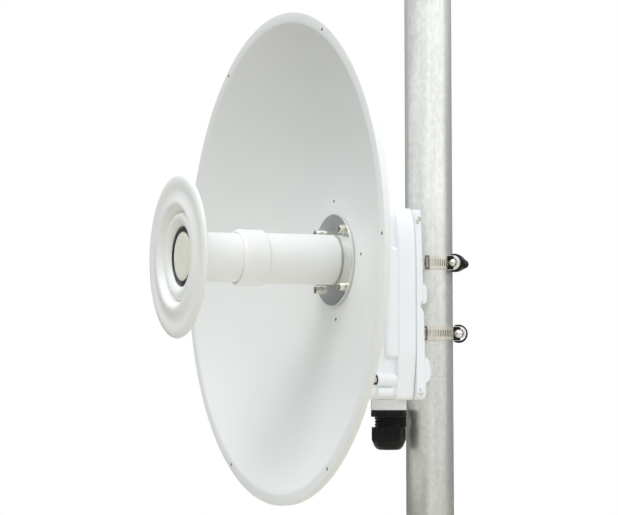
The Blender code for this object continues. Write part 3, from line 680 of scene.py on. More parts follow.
def makeFeed():
    joint, count, lip = feed["joint"], feed["count"], feed["tubeLip"]
    for name, radius, front, rear, node in (
        ("wide_tube", feed["wide"], joint, feed["wideRear"], "feed_tube_rear"),
        ("narrow_tube", feed["narrow"], feed["narrowFront"], joint + clearance, "feed_tube_front"),
    ):
        bore = radius - feed["wall"]
        tube = [(bore, front), (radius, front, lip), (radius, rear), (bore, rear)]
        piece(name, lathed(tube, onFeed, count), "feed", node)
    piece("bell_collar", lathed(feed["collar"], onFeed, count), "feed", "feed_collar")

    face = feed["splashFace"]
    floor = face - feed["recess"]
    profile = [(0, floor), (feed["recessRadius"], floor)]
    for radius, back in eased(splashFront) + eased(splashBack) + splashSleeve:
        profile.append((radius + feed["spread"] * max(0.0, radius - feed["spreadFrom"]), face - back))
    profile.append((0, face - feed["back"]))
    piece("splash_disc", turned(profile, onFeed, 256), "splash", "splash_plate")
    base = floor + clearance
    piece("splash_gasket", lathed(lifted(feed["gasket"], base), onFeed, 160), "rubber", "splash_seal")
    piece("splash_centre", lathed(lifted(feed["centre"], base), onFeed, 160), "centre", "splash_cap")


makeFeed()
print("feed made")

# Radio housing: body, gasket and lid, with their screws. Heights are counted from the dish's axis
housing = {
    "front": -0.1084,
    "step": -0.0640,
    "seam": -0.0440,
    "seamThick": 0.0008,
    "top": 0.0525,
    "bottom": -0.1440,
    "frontHalf": 0.0470,
    "rearHalf": 0.0540,
    "shoulder": (0.014, 0.050),  # across, down
    "taper": (0.0065, 0.046),  # in at the skirt's foot, and how far up it runs
    "skirtRound": 0.0018,
    "skirtHollow": 0.0046,
    "blockInset": 0.0005,
    "blockLap": 0.004,
    "corner": 0.012,
    "frontEdge": 0.003,
    "wall": 0.003,
    "cavity": (0.0440, 0.006, 0.009, 0.010),  # half its width, inside the block's ends, corners, past the seam
    "gasket": mm(  # inward, and across the seam
        (0.7, -0.2), (0.5, 0.2), (0.5, 0.6), (0.7, 1), (4.6, 1), (4.6, -0.2),
    ),
    "pad": mm((-77, -101, 4), (-57, -101), (-57, 11.5), (-77, 11.5, 3)),
    "padReach": (0.0524, 0.016, 0.0033),  # outer face, thickness, rounding
    "bossHeight": -0.1237,
    "bossFront": -0.0867,
    "bossRear": -0.0652,
    "bossRadius": 0.0066,
    "bossEdge": 0.0014,
    "bossPocket": (0.0052, 0.0040),  # radius, depth
    "bossBore": (0.0025, 0.0135),
    "bossDrill": 0.006,  # how far ahead of the boss a drill starts
    "boltHoles": (0.0028, -0.115, -0.102),
    "lump": (0.0052, 0.0465, -0.1364, -0.0684, -0.0863),  # radius, across, height, depths
    "lumpEdge": 0.0034,
    "entry": (0.0125, -0.0524, 0.010),  # the gland's hole: radius, depth, reach
    "lidTop": 0.0508,
    "lidCorners": (0.0055, 0.008),
    "lidBackTop": -0.0370,
    "lidBackBottom": -0.0317,
    "lidEdge": 0.0025,
    "lidChamfer": 0.0004,
    "ribs": (  # half the width, and the outline as depth, height, rounding
        (0.0390, mm((-41, -25.6), (-29.5, -26, 2), (-26, -28, 3), (-26, -42.6, 1.6), (-41, -43))),
        (0.0450, mm(
            (-41, -102), (-30, -102.5, 2), (-26.8, -105, 3), (-24.8, -117.5, 4), (-26.8, -122.5, 3),
            (-30, -124.3, 2), (-41, -124.7),
        )),
    ),
    "ribEdge": 0.0026,
    "guide": (0.0145, 0.0101, -0.0410, -0.0242),  # half its width and height, root, face
    "guideRound": (0.0012, 0.0010),  # corners, edge
    "bandSlot": (0.030, 0.0075, -0.0322, -0.0302),
    "mastHollow": 0.0253,
    "notch": mm((-26.9, -43.4), (-26.9, -66.9), (-38.9, -48.9), (-38.9, -43.4)),
    "notchHalf": 0.008,
    "endSpots": ((-0.0402, 0.0405), (-0.0390, -0.1376)),  # the lid screws: depth, height
    "notchSpot": (0.0515, -0.0386, -0.0461),
    "screwSunk": 0.0006,
    "screwBore": (0.0026, 0.0002, 0.006),  # radius, reach into the lid, reach out of it
    "pinholes": ((-0.0410, 0.0366), (-0.0399, -0.1334)),  # vents beside the end screws
    "pinhole": (0.0012, 0.002),  # radius, depth
    "endScrew": (0.0022, 0.0012, 0.0012, 0.0028),  # head's radius and rise, shank, length
    "notchScrew": (0.0020, 0.0032, 0.0012, 0.0028),
    "bossScrew": (0.0033, 0.0022, 0.0022, 0.0130),
    "washer": mm((2.4, -0.3), (4.9, -0.6, 0.6), (4.9, -3.6), (2.4, -3.6)),
}


# The skirt narrows a little towards its foot and has long rounded shoulders
def skirtOutline(off=0.0):
    half, low, high = housing["rearHalf"] - off, housing["bottom"] + off, housing["top"] - off
    taper, taperRise = housing["taper"]
    foot, bend = half - taper, low + taperRise
    lower = filleted(
        [
            (-half, 0.0), (-half, bend, 0.2), (-foot, low, 0.005), (foot, low, 0.005),
            (half, bend, 0.2), (half, 0.0),
        ],
        8, closed=False,
    )
    reach, rise = [size - off for size in housing["shoulder"]]
    right = arc((half - reach, high - rise), (reach, rise), 0.0, quarter, 14)
    left = arc((reach - half, high - rise), (reach, rise), quarter, 2 * quarter, 14)
    return lower[1:-1] + right + left


# How far out the seam runs at a height
def seamReach(height):
    reach, rise = housing["shoulder"]
    up = max(0.0, height - housing["top"] + rise) / rise
    return housing["rearHalf"] - reach * (1 - math.sqrt(max(0.0, 1 - up * up)))


# Long edges of a loop are cut into shorter ones
def divided(loop, longest):
    made = []
    for i, (x, y) in enumerate(loop):
        nextX, nextY = loop[(i + 1) % len(loop)]
        parts = max(1, math.ceil(math.dist((x, y), (nextX, nextY)) / longest))
        made += [(x + (nextX - x) * k / parts, y + (nextY - y) * k / parts) for k in range(parts)]
    return made


def depthBlock(outline, front, rear, frontEdge=0.0, rearEdge=0.0):
    return slab(outline, -rear, -front, rearEdge, frontEdge, 5, facing)


# The skirt's solid, with a hollow fillet where it leaves the narrower block
def makeSkirt(rear):
    step, hollow = housing["step"], housing["skirtHollow"]
    narrow = housing["rearHalf"] - housing["frontHalf"]
    loops = [(narrow + 0.0012, step - hollow)]
    loops += [(narrow - along, step - off) for off, along in rounded(hollow, 8)]
    loops += [(off, step + along) for off, along in rounded(housing["skirtRound"], 5)]
    loops.append((0.0, rear))
    outline = skirtOutline()
    return softened(lofted([[(x, y, axisHeight + z) for x, z in inset(outline, off)] for off, y in loops]))


def makeHousing():
    rear = housing["seam"] - housing["seamThick"] / 2 - clearance
    front, half, corner = housing["front"], housing["frontHalf"], housing["corner"]
    low, high = housing["bottom"] + housing["blockInset"], housing["top"] - housing["blockInset"]
    outline = roundedBox(half, low, high, corner, corner)
    block = depthBlock(outline, front, rear - housing["blockLap"], housing["frontEdge"])
    extras = [makeSkirt(rear)]
    outer, thick, edge = housing["padReach"]
    lumpRadius, lumpReach, lumpHeight, lumpRear, lumpFront = housing["lump"]
    boss, bossFront, bossRear = housing["bossHeight"], housing["bossFront"], housing["bossRear"]
    for side in sides.values():
        inward = (-thick, 0.0, 0.0, edge) if side > 0 else (0.0, thick, edge, 0.0)
        lumpSide = side * lumpReach
        extras += [
            slab(filleted(housing["pad"]), *inward, 6, across(side * outer)),
            pin(housing["bossRadius"], side * half, boss, bossRear, bossFront, 48, housing["bossEdge"]),
            pin(lumpRadius, lumpSide, lumpHeight, lumpRear, lumpFront, 40, housing["lumpEdge"]),
        ]
    mesh = worked(block, extras, "UNION")
    cavity, end, cavityCorner, past = housing["cavity"]
    hollow = roundedBox(cavity, low + end, high - end, cavityCorner, cavityCorner)
    entryRadius, entryDepth, entryReach = housing["entry"]
    foot = axisHeight + housing["bottom"]
    cuts = [
        depthBlock(hollow, front + housing["wall"], rear + past),
        rod(entryRadius, (0, entryDepth, foot - entryReach), (0, entryDepth, foot + entryReach), 48),
    ]
    for side in sides.values():
        for (radius, depth), count in ((housing["bossPocket"], 48), (housing["bossBore"], 24)):
            start = bossFront - housing["bossDrill"]
            cuts.append(pin(radius, side * half, boss, start, bossFront + depth, count))
    radius, start, end = housing["boltHoles"]
    cuts += [pin(radius, x, z, start, end, 20) for x, z in around(hub["boltCircle"], 4, hub["boltTurn"])]
    piece("housing_shell", worked(mesh, cuts), "housing", "housing_body", even=True)

    seam = -housing["seam"] - housing["seamThick"] / 2
    gasket = lofted([atLevel(skirtOutline(off), seam + level) for off, level in housing["gasket"]], closed=True)
    gasket.transform(facing)
    piece("seam_gasket", softened(gasket), "seam", "housing_seal")


def lidBack(height):
    slope = (housing["lidBackBottom"] - housing["lidBackTop"]) / (housing["bottom"] - housing["lidTop"])
    return housing["lidBackTop"] + slope * (height - housing["lidTop"])


def makeLid():
    front = housing["seam"] + housing["seamThick"] / 2 + clearance
    highCorner, lowCorner = housing["lidCorners"]
    half, low, high = housing["rearHalf"], housing["bottom"], housing["lidTop"]
    outline = divided(roundedBox(half, low, high, lowCorner, highCorner, 10), 0.006)
    chamfer = housing["lidChamfer"]
    rings = []
    for off, step in ((chamfer, 0.0), (0.0, chamfer)):  # the front follows the skirt's shoulders
        ring = []
        for x, z in inset(outline, off):
            limit = seamReach(z) - off
            ring.append((max(-limit, min(limit, x)), front + step, axisHeight + z))
        rings.append(ring)
    for off, along in rounded(housing["lidEdge"], 6):
        rings.append([(x, lidBack(z) - off, axisHeight + z) for x, z in inset(outline, along)])
    blocks = []
    ribEdge = housing["ribEdge"]
    for half, outline in housing["ribs"]:
        blocks.append(slab(filleted(outline), -half, half, ribEdge, ribEdge, 5, across()))
    half, rise, root, rest = housing["guide"]
    corner, edge = housing["guideRound"]
    for height in strapHeights.values():
        loop = filleted(rectangle(half, height - rise, height + rise, corner))
        blocks.append(depthBlock(loop, root, rest, 0.0, edge))
    lid = worked(softened(lofted(rings)), blocks, "UNION")

    notch, half, edge = housing["notch"], housing["notchHalf"], housing["rearHalf"]
    cuts = [slab(notch, -half, half, place=across(side * edge)) for side in sides.values()]
    half, rise, slotFront, slotRear = housing["bandSlot"]
    for height in strapHeights.values():
        cuts.append(depthBlock(rectangle(half, height - rise, height + rise), slotFront, slotRear))
    cuts.append(mastRod(housing["mastHollow"], -0.20, 0.10))
    radius, inward, outward = housing["screwBore"]
    for spot, way in lidScrewSpots():
        spot, way = Vector(spot), Vector(way)
        cuts.append(rod(radius, spot - way * inward, spot + way * outward, 28))
    radius, inward = housing["pinhole"]
    for side in sides.values():
        for depth, height in housing["pinholes"]:
            x, z = side * lidReach(depth, height), axisHeight + height
            cuts.append(rod(radius, (x - side * inward, depth, z), (x + side, depth, z), 16))
    piece("lid_shell", worked(lid, cuts), "housing", "housing_lid", even=True)


# How far out the lid's side stands, between the seam and its back
def lidReach(depth, height):
    share = (depth - housing["seam"]) / (lidBack(height) - housing["seam"])
    return seamReach(height) + (housing["rearHalf"] - seamReach(height)) * share


# Where each lid screw's head sits, and the way it faces
def lidScrewSpots():
    top, foot = housing["endSpots"]
    notchX, notchDepth, notchHeight = housing["notchSpot"]
    topX, footX = lidReach(*top) - housing["screwSunk"], housing["rearHalf"] - housing["screwSunk"]
    for side in sides.values():
        yield (side * topX, top[0], axisHeight + top[1]), (side, 0, 0)
        yield (side * notchX, notchDepth, axisHeight + notchHeight), (0, 1, 0)
        yield (side * footX, foot[0], axisHeight + foot[1]), (side, 0, 0)


panHead = {  # shares of the head's radius, and of its rise
    "crown": 0.62,
    "crownRound": 0.25,
    "flank": 0.40,
    "flankRound": 0.12,
    "crossHalf": 0.13,
    "crossFloor": 0.35,
}


# A pan head with a cross recess; its own Z points out of the work
def panScrew(radius, rise, shank, length, spot, way, twist=0.4):
    place = aimed(spot, way) @ spun(twist)
    crown, half = radius * panHead["crown"], radius * panHead["crossHalf"]
    profile = [
        (0, rise), (crown, rise, radius * panHead["crownRound"]),
        (radius, rise * panHead["flank"], radius * panHead["flankRound"]), (radius, 0),
        (shank, 0), (shank, -length), (0, -length),
    ]
    floor = rise * panHead["crossFloor"]
    arms = ((crown, half), (half, crown))
    bars = [slab(rectangle(x, -y, y), floor, rise * 1.5, place=place) for x, y in arms]
    return worked(lathed(profile, place, 36), bars, angle=30.0)


def makeHousingScrews():
    for tag, side in sides.items():
        spot = (side * housing["frontHalf"], housing["bossFront"] - 0.0002, axisHeight + housing["bossHeight"])
        mesh = panScrew(*housing["bossScrew"], spot, (0, -1, 0))
        piece(f"boss_pan_screw_{tag}", mesh, "bright", f"boss_screw_{tag}")
        # a black rubber washer sleeve lines the boss's pocket; its black stands in part for the pocket's shade,
        # painted shade
        seat = moved(*spot) @ spun(quarter, "X")
        piece(f"boss_washer_and_pocket_shade_{tag}", lathed(housing["washer"], seat, 48), "rubber")
    for i, (spot, way) in enumerate(lidScrewSpots()):
        tag = f"{'near' if i < 3 else 'far'}_{i % 3 + 1}"
        size = housing["notchScrew" if i % 3 == 1 else "endScrew"]
        mesh = panScrew(*size, spot, way, 0.3 + i)
        piece(f"lid_pan_screw_{tag}", mesh, "bright", f"lid_screw_{tag}")


makeHousing()
makeLid()
makeHousingScrews()
print("housing made")

# Cable gland: sleeve, threaded barrel and eight-sided cap nut, with no cable in it
gland = {
    "depth": -0.0484,
    "top": -0.1443,
    "bore": 0.0085,
    "thread": 0.0136,
    "threadDepth": 0.0011,
    "pitch": 0.0031,
    "neck": 0.0187,
    "neckLength": 0.0105,
    "sleeve": mm(  # from its lower end
        (10.5, 10.5), (18.7, 10.5, 0.4), (18.7, 6.8), (18.4, 6.5), (18.4, 5.9), (18.7, 5.6),
        (18.7, 1.8, 0.3), (19.1, 1.3, 0.3), (19.1, 0, 0.3), (10.5, 0),
    ),
    "flange": 0.0070,
    "barrel": 0.0175,
    "lug": mm((10, -3.5, 0.6), (18.2, -3.5, 1.2), (18.2, 3.5, 1.2), (10, 3.5, 0.6)),
    "nut": 0.0178,
    "nutLength": 0.0236,
    "nutProfile": mm(  # from its upper rim
        (15.2, -0.2), (18.2, -0.2, 0.3), (18.2, -12.4), (16.6, -15.8, 3), (15, -20, 3), (12.6, -22.6, 2),
        (10.6, -23.6, 1), (8.5, -23.6, 0.4), (8.5, -18), (15.2, -13),
    ),
    "flats": 8,
    "grooves": (-0.0042, 0.0, 0.0042),  # places across each flat
    "groove": mm((-0.5, -0.5), (1, -0.9), (1, 0.9), (-0.5, 0.5)),
    "grooveSpan": (-0.0105, -0.0020),
}
towardsView = math.atan2(-0.8769, 1.6315)  # the nut shows one of its corners


# A rod with a thread cut in it, its own Z along it; inside it is a plain bore
def threaded(radius, depth, pitch, length, bore, place, count=64, perTurn=12):
    rows = int(length / pitch * perTurn)
    rings = []
    for r in range(rows + 1):
        z = length * r / rows
        fade = min(1.0, r / perTurn * 2, (rows - r) / perTurn * 2)
        ring = []
        for k in range(count):
            phase = (z / pitch + k / count) % 1.0
            cut = depth * fade * min(1.0, max(0.0, abs(phase - 0.5) * 4 - 0.6))
            angle = fullTurn * k / count
            ring.append(((radius - cut) * math.cos(angle), (radius - cut) * math.sin(angle), z))
        rings.append(ring)
    if bore:
        rings += [atLevel(around(bore, count), z) for z in (length, 0.0)]
    mesh = lofted(rings, closed=bool(bore))
    mesh.transform(place)
    return softened(mesh, 40.0)


def makeGland():
    low = axisHeight + gland["top"] - gland["neckLength"]
    upright = moved(0, gland["depth"], 0)
    piece("neck_sleeve", lathed(lifted(gland["sleeve"], low), upright, 144), "neck", "gland_neck")

    seat = low - clearance
    rim, under = seat - gland["barrel"], seat - gland["flange"]
    bore, flange, cut = gland["bore"], gland["neck"] - 0.0002, gland["threadDepth"]
    barrel = joined([
        lathed([(bore, seat), (flange, seat, 0.0005), (flange, under, 0.0008), (bore, under)], upright, 144),
        threaded(
            gland["thread"] + cut, cut, gland["pitch"], gland["barrel"] - gland["flange"] - 0.0002, bore,
            upright @ moved(0, 0, rim),
        ),
        slab(filleted(gland["lug"]), rim, under + 0.0004, place=upright @ spun(towardsView + quarter)),
    ])
    piece("gland_barrel", barrel, "black", "gland_body")

    nut, flats = gland["nut"], gland["flats"]
    cap = lathed(lifted(gland["nutProfile"], rim), upright, 144)
    foot = rim - gland["nutLength"] - 2 * spare
    sided = slab(around(nut, flats, towardsView), foot, rim + 2 * spare, place=upright)
    cap = worked(cap, [sided], "INTERSECT", angle=24.0)
    grooves = []
    reach = nut * math.cos(math.pi / flats)
    grooveLow, grooveHigh = gland["grooveSpan"]
    for k in range(flats):
        turnTo = upright @ spun(towardsView + fullTurn * (k + 0.5) / flats)
        for offset in gland["grooves"]:
            loop = [(reach + out, offset + aside) for out, aside in gland["groove"]]
            grooves.append(slab(loop, rim + grooveLow, rim + grooveHigh, place=turnTo))
    piece("gland_cap_nut", worked(cap, [joined(grooves)], angle=24.0), "black", "gland_nut")


makeGland()
print("gland made")

# Band clamps: a slotted band, a frame on it, and a worm screw under an arch with a thumb knob
strap = {
    "angles": {"upper": math.radians(35.2), "lower": math.radians(66.0)},
    "width": 0.0142,
    "sheet": 0.0008,
    "grip": 0.0257,
    "frontDepth": -0.0312,
    "frontHalf": 0.0165,
    "pitch": 0.0028,
    "slotShare": 0.40,
    "slotHalf": 0.0034,
    "slant": 0.0006,
    "cornerClear": (0.0020, 0.0035),  # no slant, and no slot, this near a corner
    "frameHalf": 0.0023,
    "frameThick": 0.0010,
    "frameRound": (0.0006, 0.0003),  # corners, edge
    "frameWindow": (0.0010, 0.0052),
    "frameBack": {"upper": 0.0062, "lower": 0.0088},
    "reach": 0.0308,
    "mastRods": {"arch": 0.0253, "cheeks": 0.0263, "knob": 0.0267},
    "rodHalf": 0.015,
    "arch": 0.0076,
    "archWall": 0.0009,
    "archFoot": 0.0175,
    "archEdge": 0.0002,
    "archNear": 0.0070,  # along the screw, towards its near end
    "archFar": 0.0028,
    "lip": mm((7, 6), (7.3, 7), (6.8, 7.2), (5, 6.4), (5, 5.8)),
    "lipSweep": 1.62,
    "cheek": mm((1.4, 7.2), (-6.8, 7.2), (-6.8, 3)),
    "cheekSpan": (0.0030, 0.0074, 0.0002, 0.0003),  # along the screw, and both edges
    "cheekBow": (0.0047, (2.44, 2.15, 1.85, 1.55, 1.26)),
    "tip": mm((0, 0), (1.4, 0, 0.3), (3.8, -1.4, 0.4), (4, -3.4, 0.3), (3.6, -4.6), (0, -4.6)),
    "tipRise": 0.0012,
    "tipLength": 0.0046,
    "tipFlats": (0.00425, 6, 0.35),  # radius, how many, turn
    "worm": (0.0043, 0.0009, 0.0020),  # radius, depth, pitch
    "wormReach": 0.0030,
    "shank": 0.0025,
    "shankEnd": -0.0100,
    "knobBores": (0.0028, 0.0048),  # round the shank, round the worm
    "knobRim": (0.0098, 0.0005),
    "knob": mm(
        (9.6, -0.8, 1), (9.2, -4.5, 2), (8.6, -7.4, 3), (7.6, -10.4, 3), (6.5, -13.5, 4), (5.7, -16.8, 4),
        (5.2, -20.5, 3), (4.4, -23.8, 2), (3, -26, 1.2), (0, -26.8),
    ),
    "flutes": 10,
    "fluteSpot": (0.0097, 0, -0.0040),
    "fluteLean": -0.26,
    "flute": mm((0, 0), (0.9, 0, 0.8), (0.9, -20, 0.8), (0, -20)),
}


# The band's middle line, the way along it at each point, and where it leaves the mast
def bandLine():
    grip, front = strap["grip"], (strap["frontHalf"], strap["frontDepth"])
    leave = math.atan2(front[1], front[0]) + math.acos(grip / math.hypot(*front))
    spots = arc((0, 0), (grip, grip), leave, math.pi - leave, 160)
    spots += [(-front[0], front[1]), front, spots[0]]
    lengths = [0.0]
    for one, two in zip(spots, spots[1:]):
        lengths.append(lengths[-1] + math.dist(one, two))
    return spots, lengths, leave


def alongLine(spots, lengths, way):
    for i in range(len(lengths) - 1):
        if way <= lengths[i + 1]:
            share = (way - lengths[i]) / (lengths[i + 1] - lengths[i])
            return Vector(spots[i]).lerp(Vector(spots[i + 1]), share)
    return Vector(spots[-1])


def makeBand(tag, height):
    spots, lengths, leave = bandLine()
    corners, total = lengths[-3:], lengths[-1]
    count = round(total / strap["pitch"])
    pitch = total / count
    slantClear, slotClear = strap["cornerClear"]
    marks = [(corner, None) for corner in corners[:2]]
    for i in range(count):
        for way, isSlot in ((i * pitch, False), (i * pitch + pitch * (1 - strap["slotShare"]), True)):
            if min(abs(way - corner) for corner in corners[:2]) >= slotClear:
                marks.append((way, isSlot))
    marks.sort(key=lambda mark: mark[0])
    half, slot = strap["width"] / 2, strap["slotHalf"]
    work = bmesh.new()

    def column(way):
        made = []
        slants = min(abs(way - corner) for corner in corners) >= slantClear
        for level in (-half, -slot, slot, half):
            shift = strap["slant"] * max(-1.0, min(1.0, level / slot)) / 2 if slants else 0.0
            spot = alongLine(spots, lengths, (way + shift) % total)
            made.append(work.verts.new((spot.x, spot.y, axisHeight + height + level)))
        return made

    columns = [column(way) for way, _ in marks]
    for i, (way, isSlot) in enumerate(marks):
        n = (i + 1) % len(marks)
        for row in range(3):
            if row == 1 and isSlot is True and marks[n][1] is False:
                continue
            work.faces.new((columns[i][row], columns[n][row], columns[n][row + 1], columns[i][row + 1]))
    band = placed("work", meshOf(work))
    thick = band.modifiers.new("sheet", "SOLIDIFY")
    thick.thickness = strap["sheet"]
    thick.offset = 0.0
    thick.use_even_offset = True
    made = softened(applied(band), 30.0)
    piece(f"slotted_band_{tag}", made, "steel", f"strap_band_{tag}")
    made.materials.append(finishes["keeper"])
    for face in made.polygons:  # painted shade: the slots' walls take the dark frame steel so the slots read darker
        outward = Vector((face.center.x, face.center.y, 0)).normalized()
        inSlot = abs(face.center.z - axisHeight - height) < slot + 0.0004
        if inSlot and abs(face.normal.dot(outward)) < 0.5:
            face.material_index = 1
    return leave


# The frame's dark steel stands in part for the band's shade and dark reflection beside the lid: painted shade.
def makeBandFrame(tag, height, leave):
    width = strap["width"] / 2 + 0.0002
    windowHalf, windowRise = strap["frameWindow"]
    thick, (corner, edge) = strap["frameThick"], strap["frameRound"]
    outward, back = strap["grip"] + strap["sheet"] / 2 + clearance, strap["frameBack"][tag]
    place = moved(
        outward * math.cos(leave) + back * math.sin(leave),
        outward * math.sin(leave) - back * math.cos(leave),
        axisHeight + height,
    ) @ spun(leave + quarter) @ spun(quarter, "X")
    outline = filleted(rectangle(strap["frameHalf"], -width, width, corner))
    plate = slab(outline, 0.0, thick, 0.0, edge, 3, place)
    window = slab(rectangle(windowHalf, -windowRise, windowRise), -spare, thick + spare, place=place)
    piece(f"band_frame_{tag}", worked(plate, [window]), "keeper", f"strap_keeper_{tag}")


# The arch's near edge is turned in round the screw's end
def archLip(place):
    rings = []
    for k in range(33):
        angle = strap["lipSweep"] * (k / 16 - 1)
        rings.append([place @ Vector((r * math.cos(angle), r * math.sin(angle), z)) for r, z in strap["lip"]])
    return softened(lofted(rings))


def makeFastener(tag, height, angle):
    # own X outward from the mast, own Y up, own Z back along the screw towards its near end
    place = moved(0, 0, axisHeight + height) @ spun(angle) @ moved(strap["reach"], 0, 0)
    place = place @ spun(quarter, "X")
    low, high, rods = height - strap["rodHalf"], height + strap["rodHalf"], strap["mastRods"]
    radius, inner = strap["arch"], strap["arch"] - strap["archWall"]
    near, far, edge = strap["archNear"], strap["archFar"], strap["archEdge"]
    foot = strap["archFoot"] - strap["reach"]
    outside = [(foot, -radius)] + arc((0, 0), (radius, radius), -quarter, quarter, 28) + [(foot, radius)]
    inside = [(foot, -inner)] + arc((0, 0), (inner, inner), -quarter, quarter, 28) + [(foot, inner)]
    arch = slab(outside + inside[::-1], far, near, edge, edge, 2, place)
    arch = worked(arch, [archLip(place)], "UNION")
    arch = worked(arch, [mastRod(rods["arch"], low, high)])
    piece(f"screw_arch_{tag}", arch, "arch", f"strap_housing_{tag}")

    # black cheeks fill the arch's legs on both sides of the screw; their black stands in part for the shade in
    # the arch's throat, painted shade
    bow, bowAngles = strap["cheekBow"]
    upper = strap["cheek"] + [(bow * math.cos(a), bow * math.sin(a)) for a in bowAngles]
    lower = [(x, -y) for x, y in upper[::-1]]
    cheeks = joined([slab(outline, *strap["cheekSpan"], 2, place) for outline in (upper, lower)])
    piece(f"arch_cheeks_painted_shade_{tag}", worked(cheeks, [mastRod(rods["cheeks"], low, high)]), "black")

    tipFace, wormEnd, shankEnd = near + strap["tipRise"], far - strap["wormReach"], strap["shankEnd"]
    tipBack, shank = tipFace - strap["tipLength"], strap["shank"]
    flats = slab(around(*strap["tipFlats"]), tipBack - 0.0004, tipFace + spare, place=place)
    tip = worked(lathed(lifted(strap["tip"], tipFace), place, 48), [flats], "INTERSECT", angle=28.0)
    worm = threaded(*strap["worm"], tipBack - wormEnd, 0.0, place @ moved(0, 0, wormEnd), 40)
    shank = turned([(0, wormEnd), (shank, wormEnd), (shank, shankEnd), (0, shankEnd)], place, 32)
    piece(f"worm_screw_{tag}", joined([tip, worm, shank]), "bright", f"strap_screw_{tag}")

    (narrow, wide), (rim, rimRound) = strap["knobBores"], strap["knobRim"]
    bore = [
        (0, shankEnd), (narrow, shankEnd), (narrow, wormEnd), (wide, wormEnd), (wide, far),
        (rim, far, rimRound),
    ]
    knob = lathed(lifted(bore, -clearance) + strap["knob"], place, 96)
    onSide = moved(*strap["fluteSpot"]) @ spun(strap["fluteLean"], "Y")
    flutes = []
    for k in range(strap["flutes"]):
        flutes.append(lathed(strap["flute"], place @ spun(fullTurn * k / strap["flutes"]) @ onSide, 16))
    knob = worked(worked(knob, [joined(flutes)]), [mastRod(rods["knob"], low, high)])
    piece(f"thumb_knob_{tag}", knob, "black", f"strap_knob_{tag}")


for tag, height in strapHeights.items():
    leave = makeBand(tag, height)
    makeBandFrame(tag, height, leave)
    makeFastener(tag, height, strap["angles"][tag])
print("clamps made")

# Mast: tube, plug and foot plate with gussets and welds
mast = {
    "radius": 0.025,
    "wall": 0.003,
    "top": 0.960,
    "plug": mm((0, 3.8), (19, 4, 4), (25, 2.6, 1.6), (25, 0, 0.3)),  # from the tube's end
    "plugDepth": 0.018,
    "half": 0.090,
    "corner": 0.014,
    "thick": 0.008,
    "holeReach": 0.070,
    "holeRadius": 0.007,
    "gussetReach": 0.078,
    "gussetRise": 0.055,
    "gussetThick": 0.005,
    "gussetSunk": 0.004,
    "nose": 0.010,
    "welds": (0.0022, 0.0018),  # along the plate, up the tube
}


def makeMast():
    radius, bore = mast["radius"], mast["radius"] - mast["wall"]
    low, top = mast["thick"] + clearance, mast["top"]
    tube = [(bore, top, 0.0003), (radius, top, 0.0006), (radius, low), (bore, low)]
    piece("pole_tube", lathed(tube, Matrix(), 192), "zinc", "mast_pole", "mast")
    seat = top + clearance
    inner, foot = bore - clearance, seat - mast["plugDepth"]
    cap = lifted(mast["plug"], seat) + [(inner, seat), (inner, foot, 0.001), (0, foot)]
    piece("pole_plug", lathed(cap, Matrix(), 128), "black", "mast_cap", "mast")

    half, thick, corner = mast["half"], mast["thick"], mast["corner"]
    plate = slab(roundedBox(half, -half, half, corner, corner), 0.0, thick, 0.0004, 0.0010, 3)
    inner, reach, rise, nose = radius + clearance, mast["gussetReach"], mast["gussetRise"], mast["nose"]
    sunk, thin = mast["gussetSunk"], mast["gussetThick"] / 2
    gusset = filleted(
        [(inner, -sunk), (reach, -sunk), (reach, nose, 0.001), (inner + nose, rise, 0.001), (inner, rise)]
    )
    along, up = mast["welds"]
    fins, welds = [], []
    for k in range(4):
        turnTo = spun(math.pi / 4 + k * quarter) @ moved(0, 0, thick)
        fins.append(slab(gusset, -thin, thin, 0.0004, 0.0004, 2, turnTo @ spun(quarter, "X")))
        for side in (-1, 1):
            start = turnTo @ Vector((inner, side * thin, 0))
            welds.append(weldBead(start, turnTo @ Vector((reach, side * thin, 0)), along, k * 2 + side))
            welds.append(weldBead(start, turnTo @ Vector((inner, side * thin, rise)), up, k * 2 + side + 20))
    hole = mast["holeReach"]
    holes = [
        rod(mast["holeRadius"], (x, y, -0.01), (x, y, 0.02), 40) for x in (-hole, hole) for y in (-hole, hole)
    ]
    piece("foot_plate", worked(worked(plate, fins, "UNION"), holes), "zinc", "mast_base", "mast", even=True)
    piece("foot_welds", joined(welds), "zinc", body="mast")


# A run of overlapping ripples between two points
def weldBead(start, end, radius, seed):
    length = (end - start).length
    rows = max(12, int(length / 0.0009))
    rings = []
    for r in range(rows + 1):
        t = r / rows
        ripple = 0.82 + 0.18 * abs(math.sin(r * 0.9 + seed)) + 0.05 * math.sin(r * 2.3 + seed * 1.7)
        size = radius * ripple * min(1.0, 0.35 + 4 * min(t, 1 - t))
        rings.append(atLevel(around(size, 12), length * t))
    mesh = lofted(rings)
    mesh.transform(aimed(start, end - start))
    return softened(mesh, 60.0)


makeMast()
print("mast made")

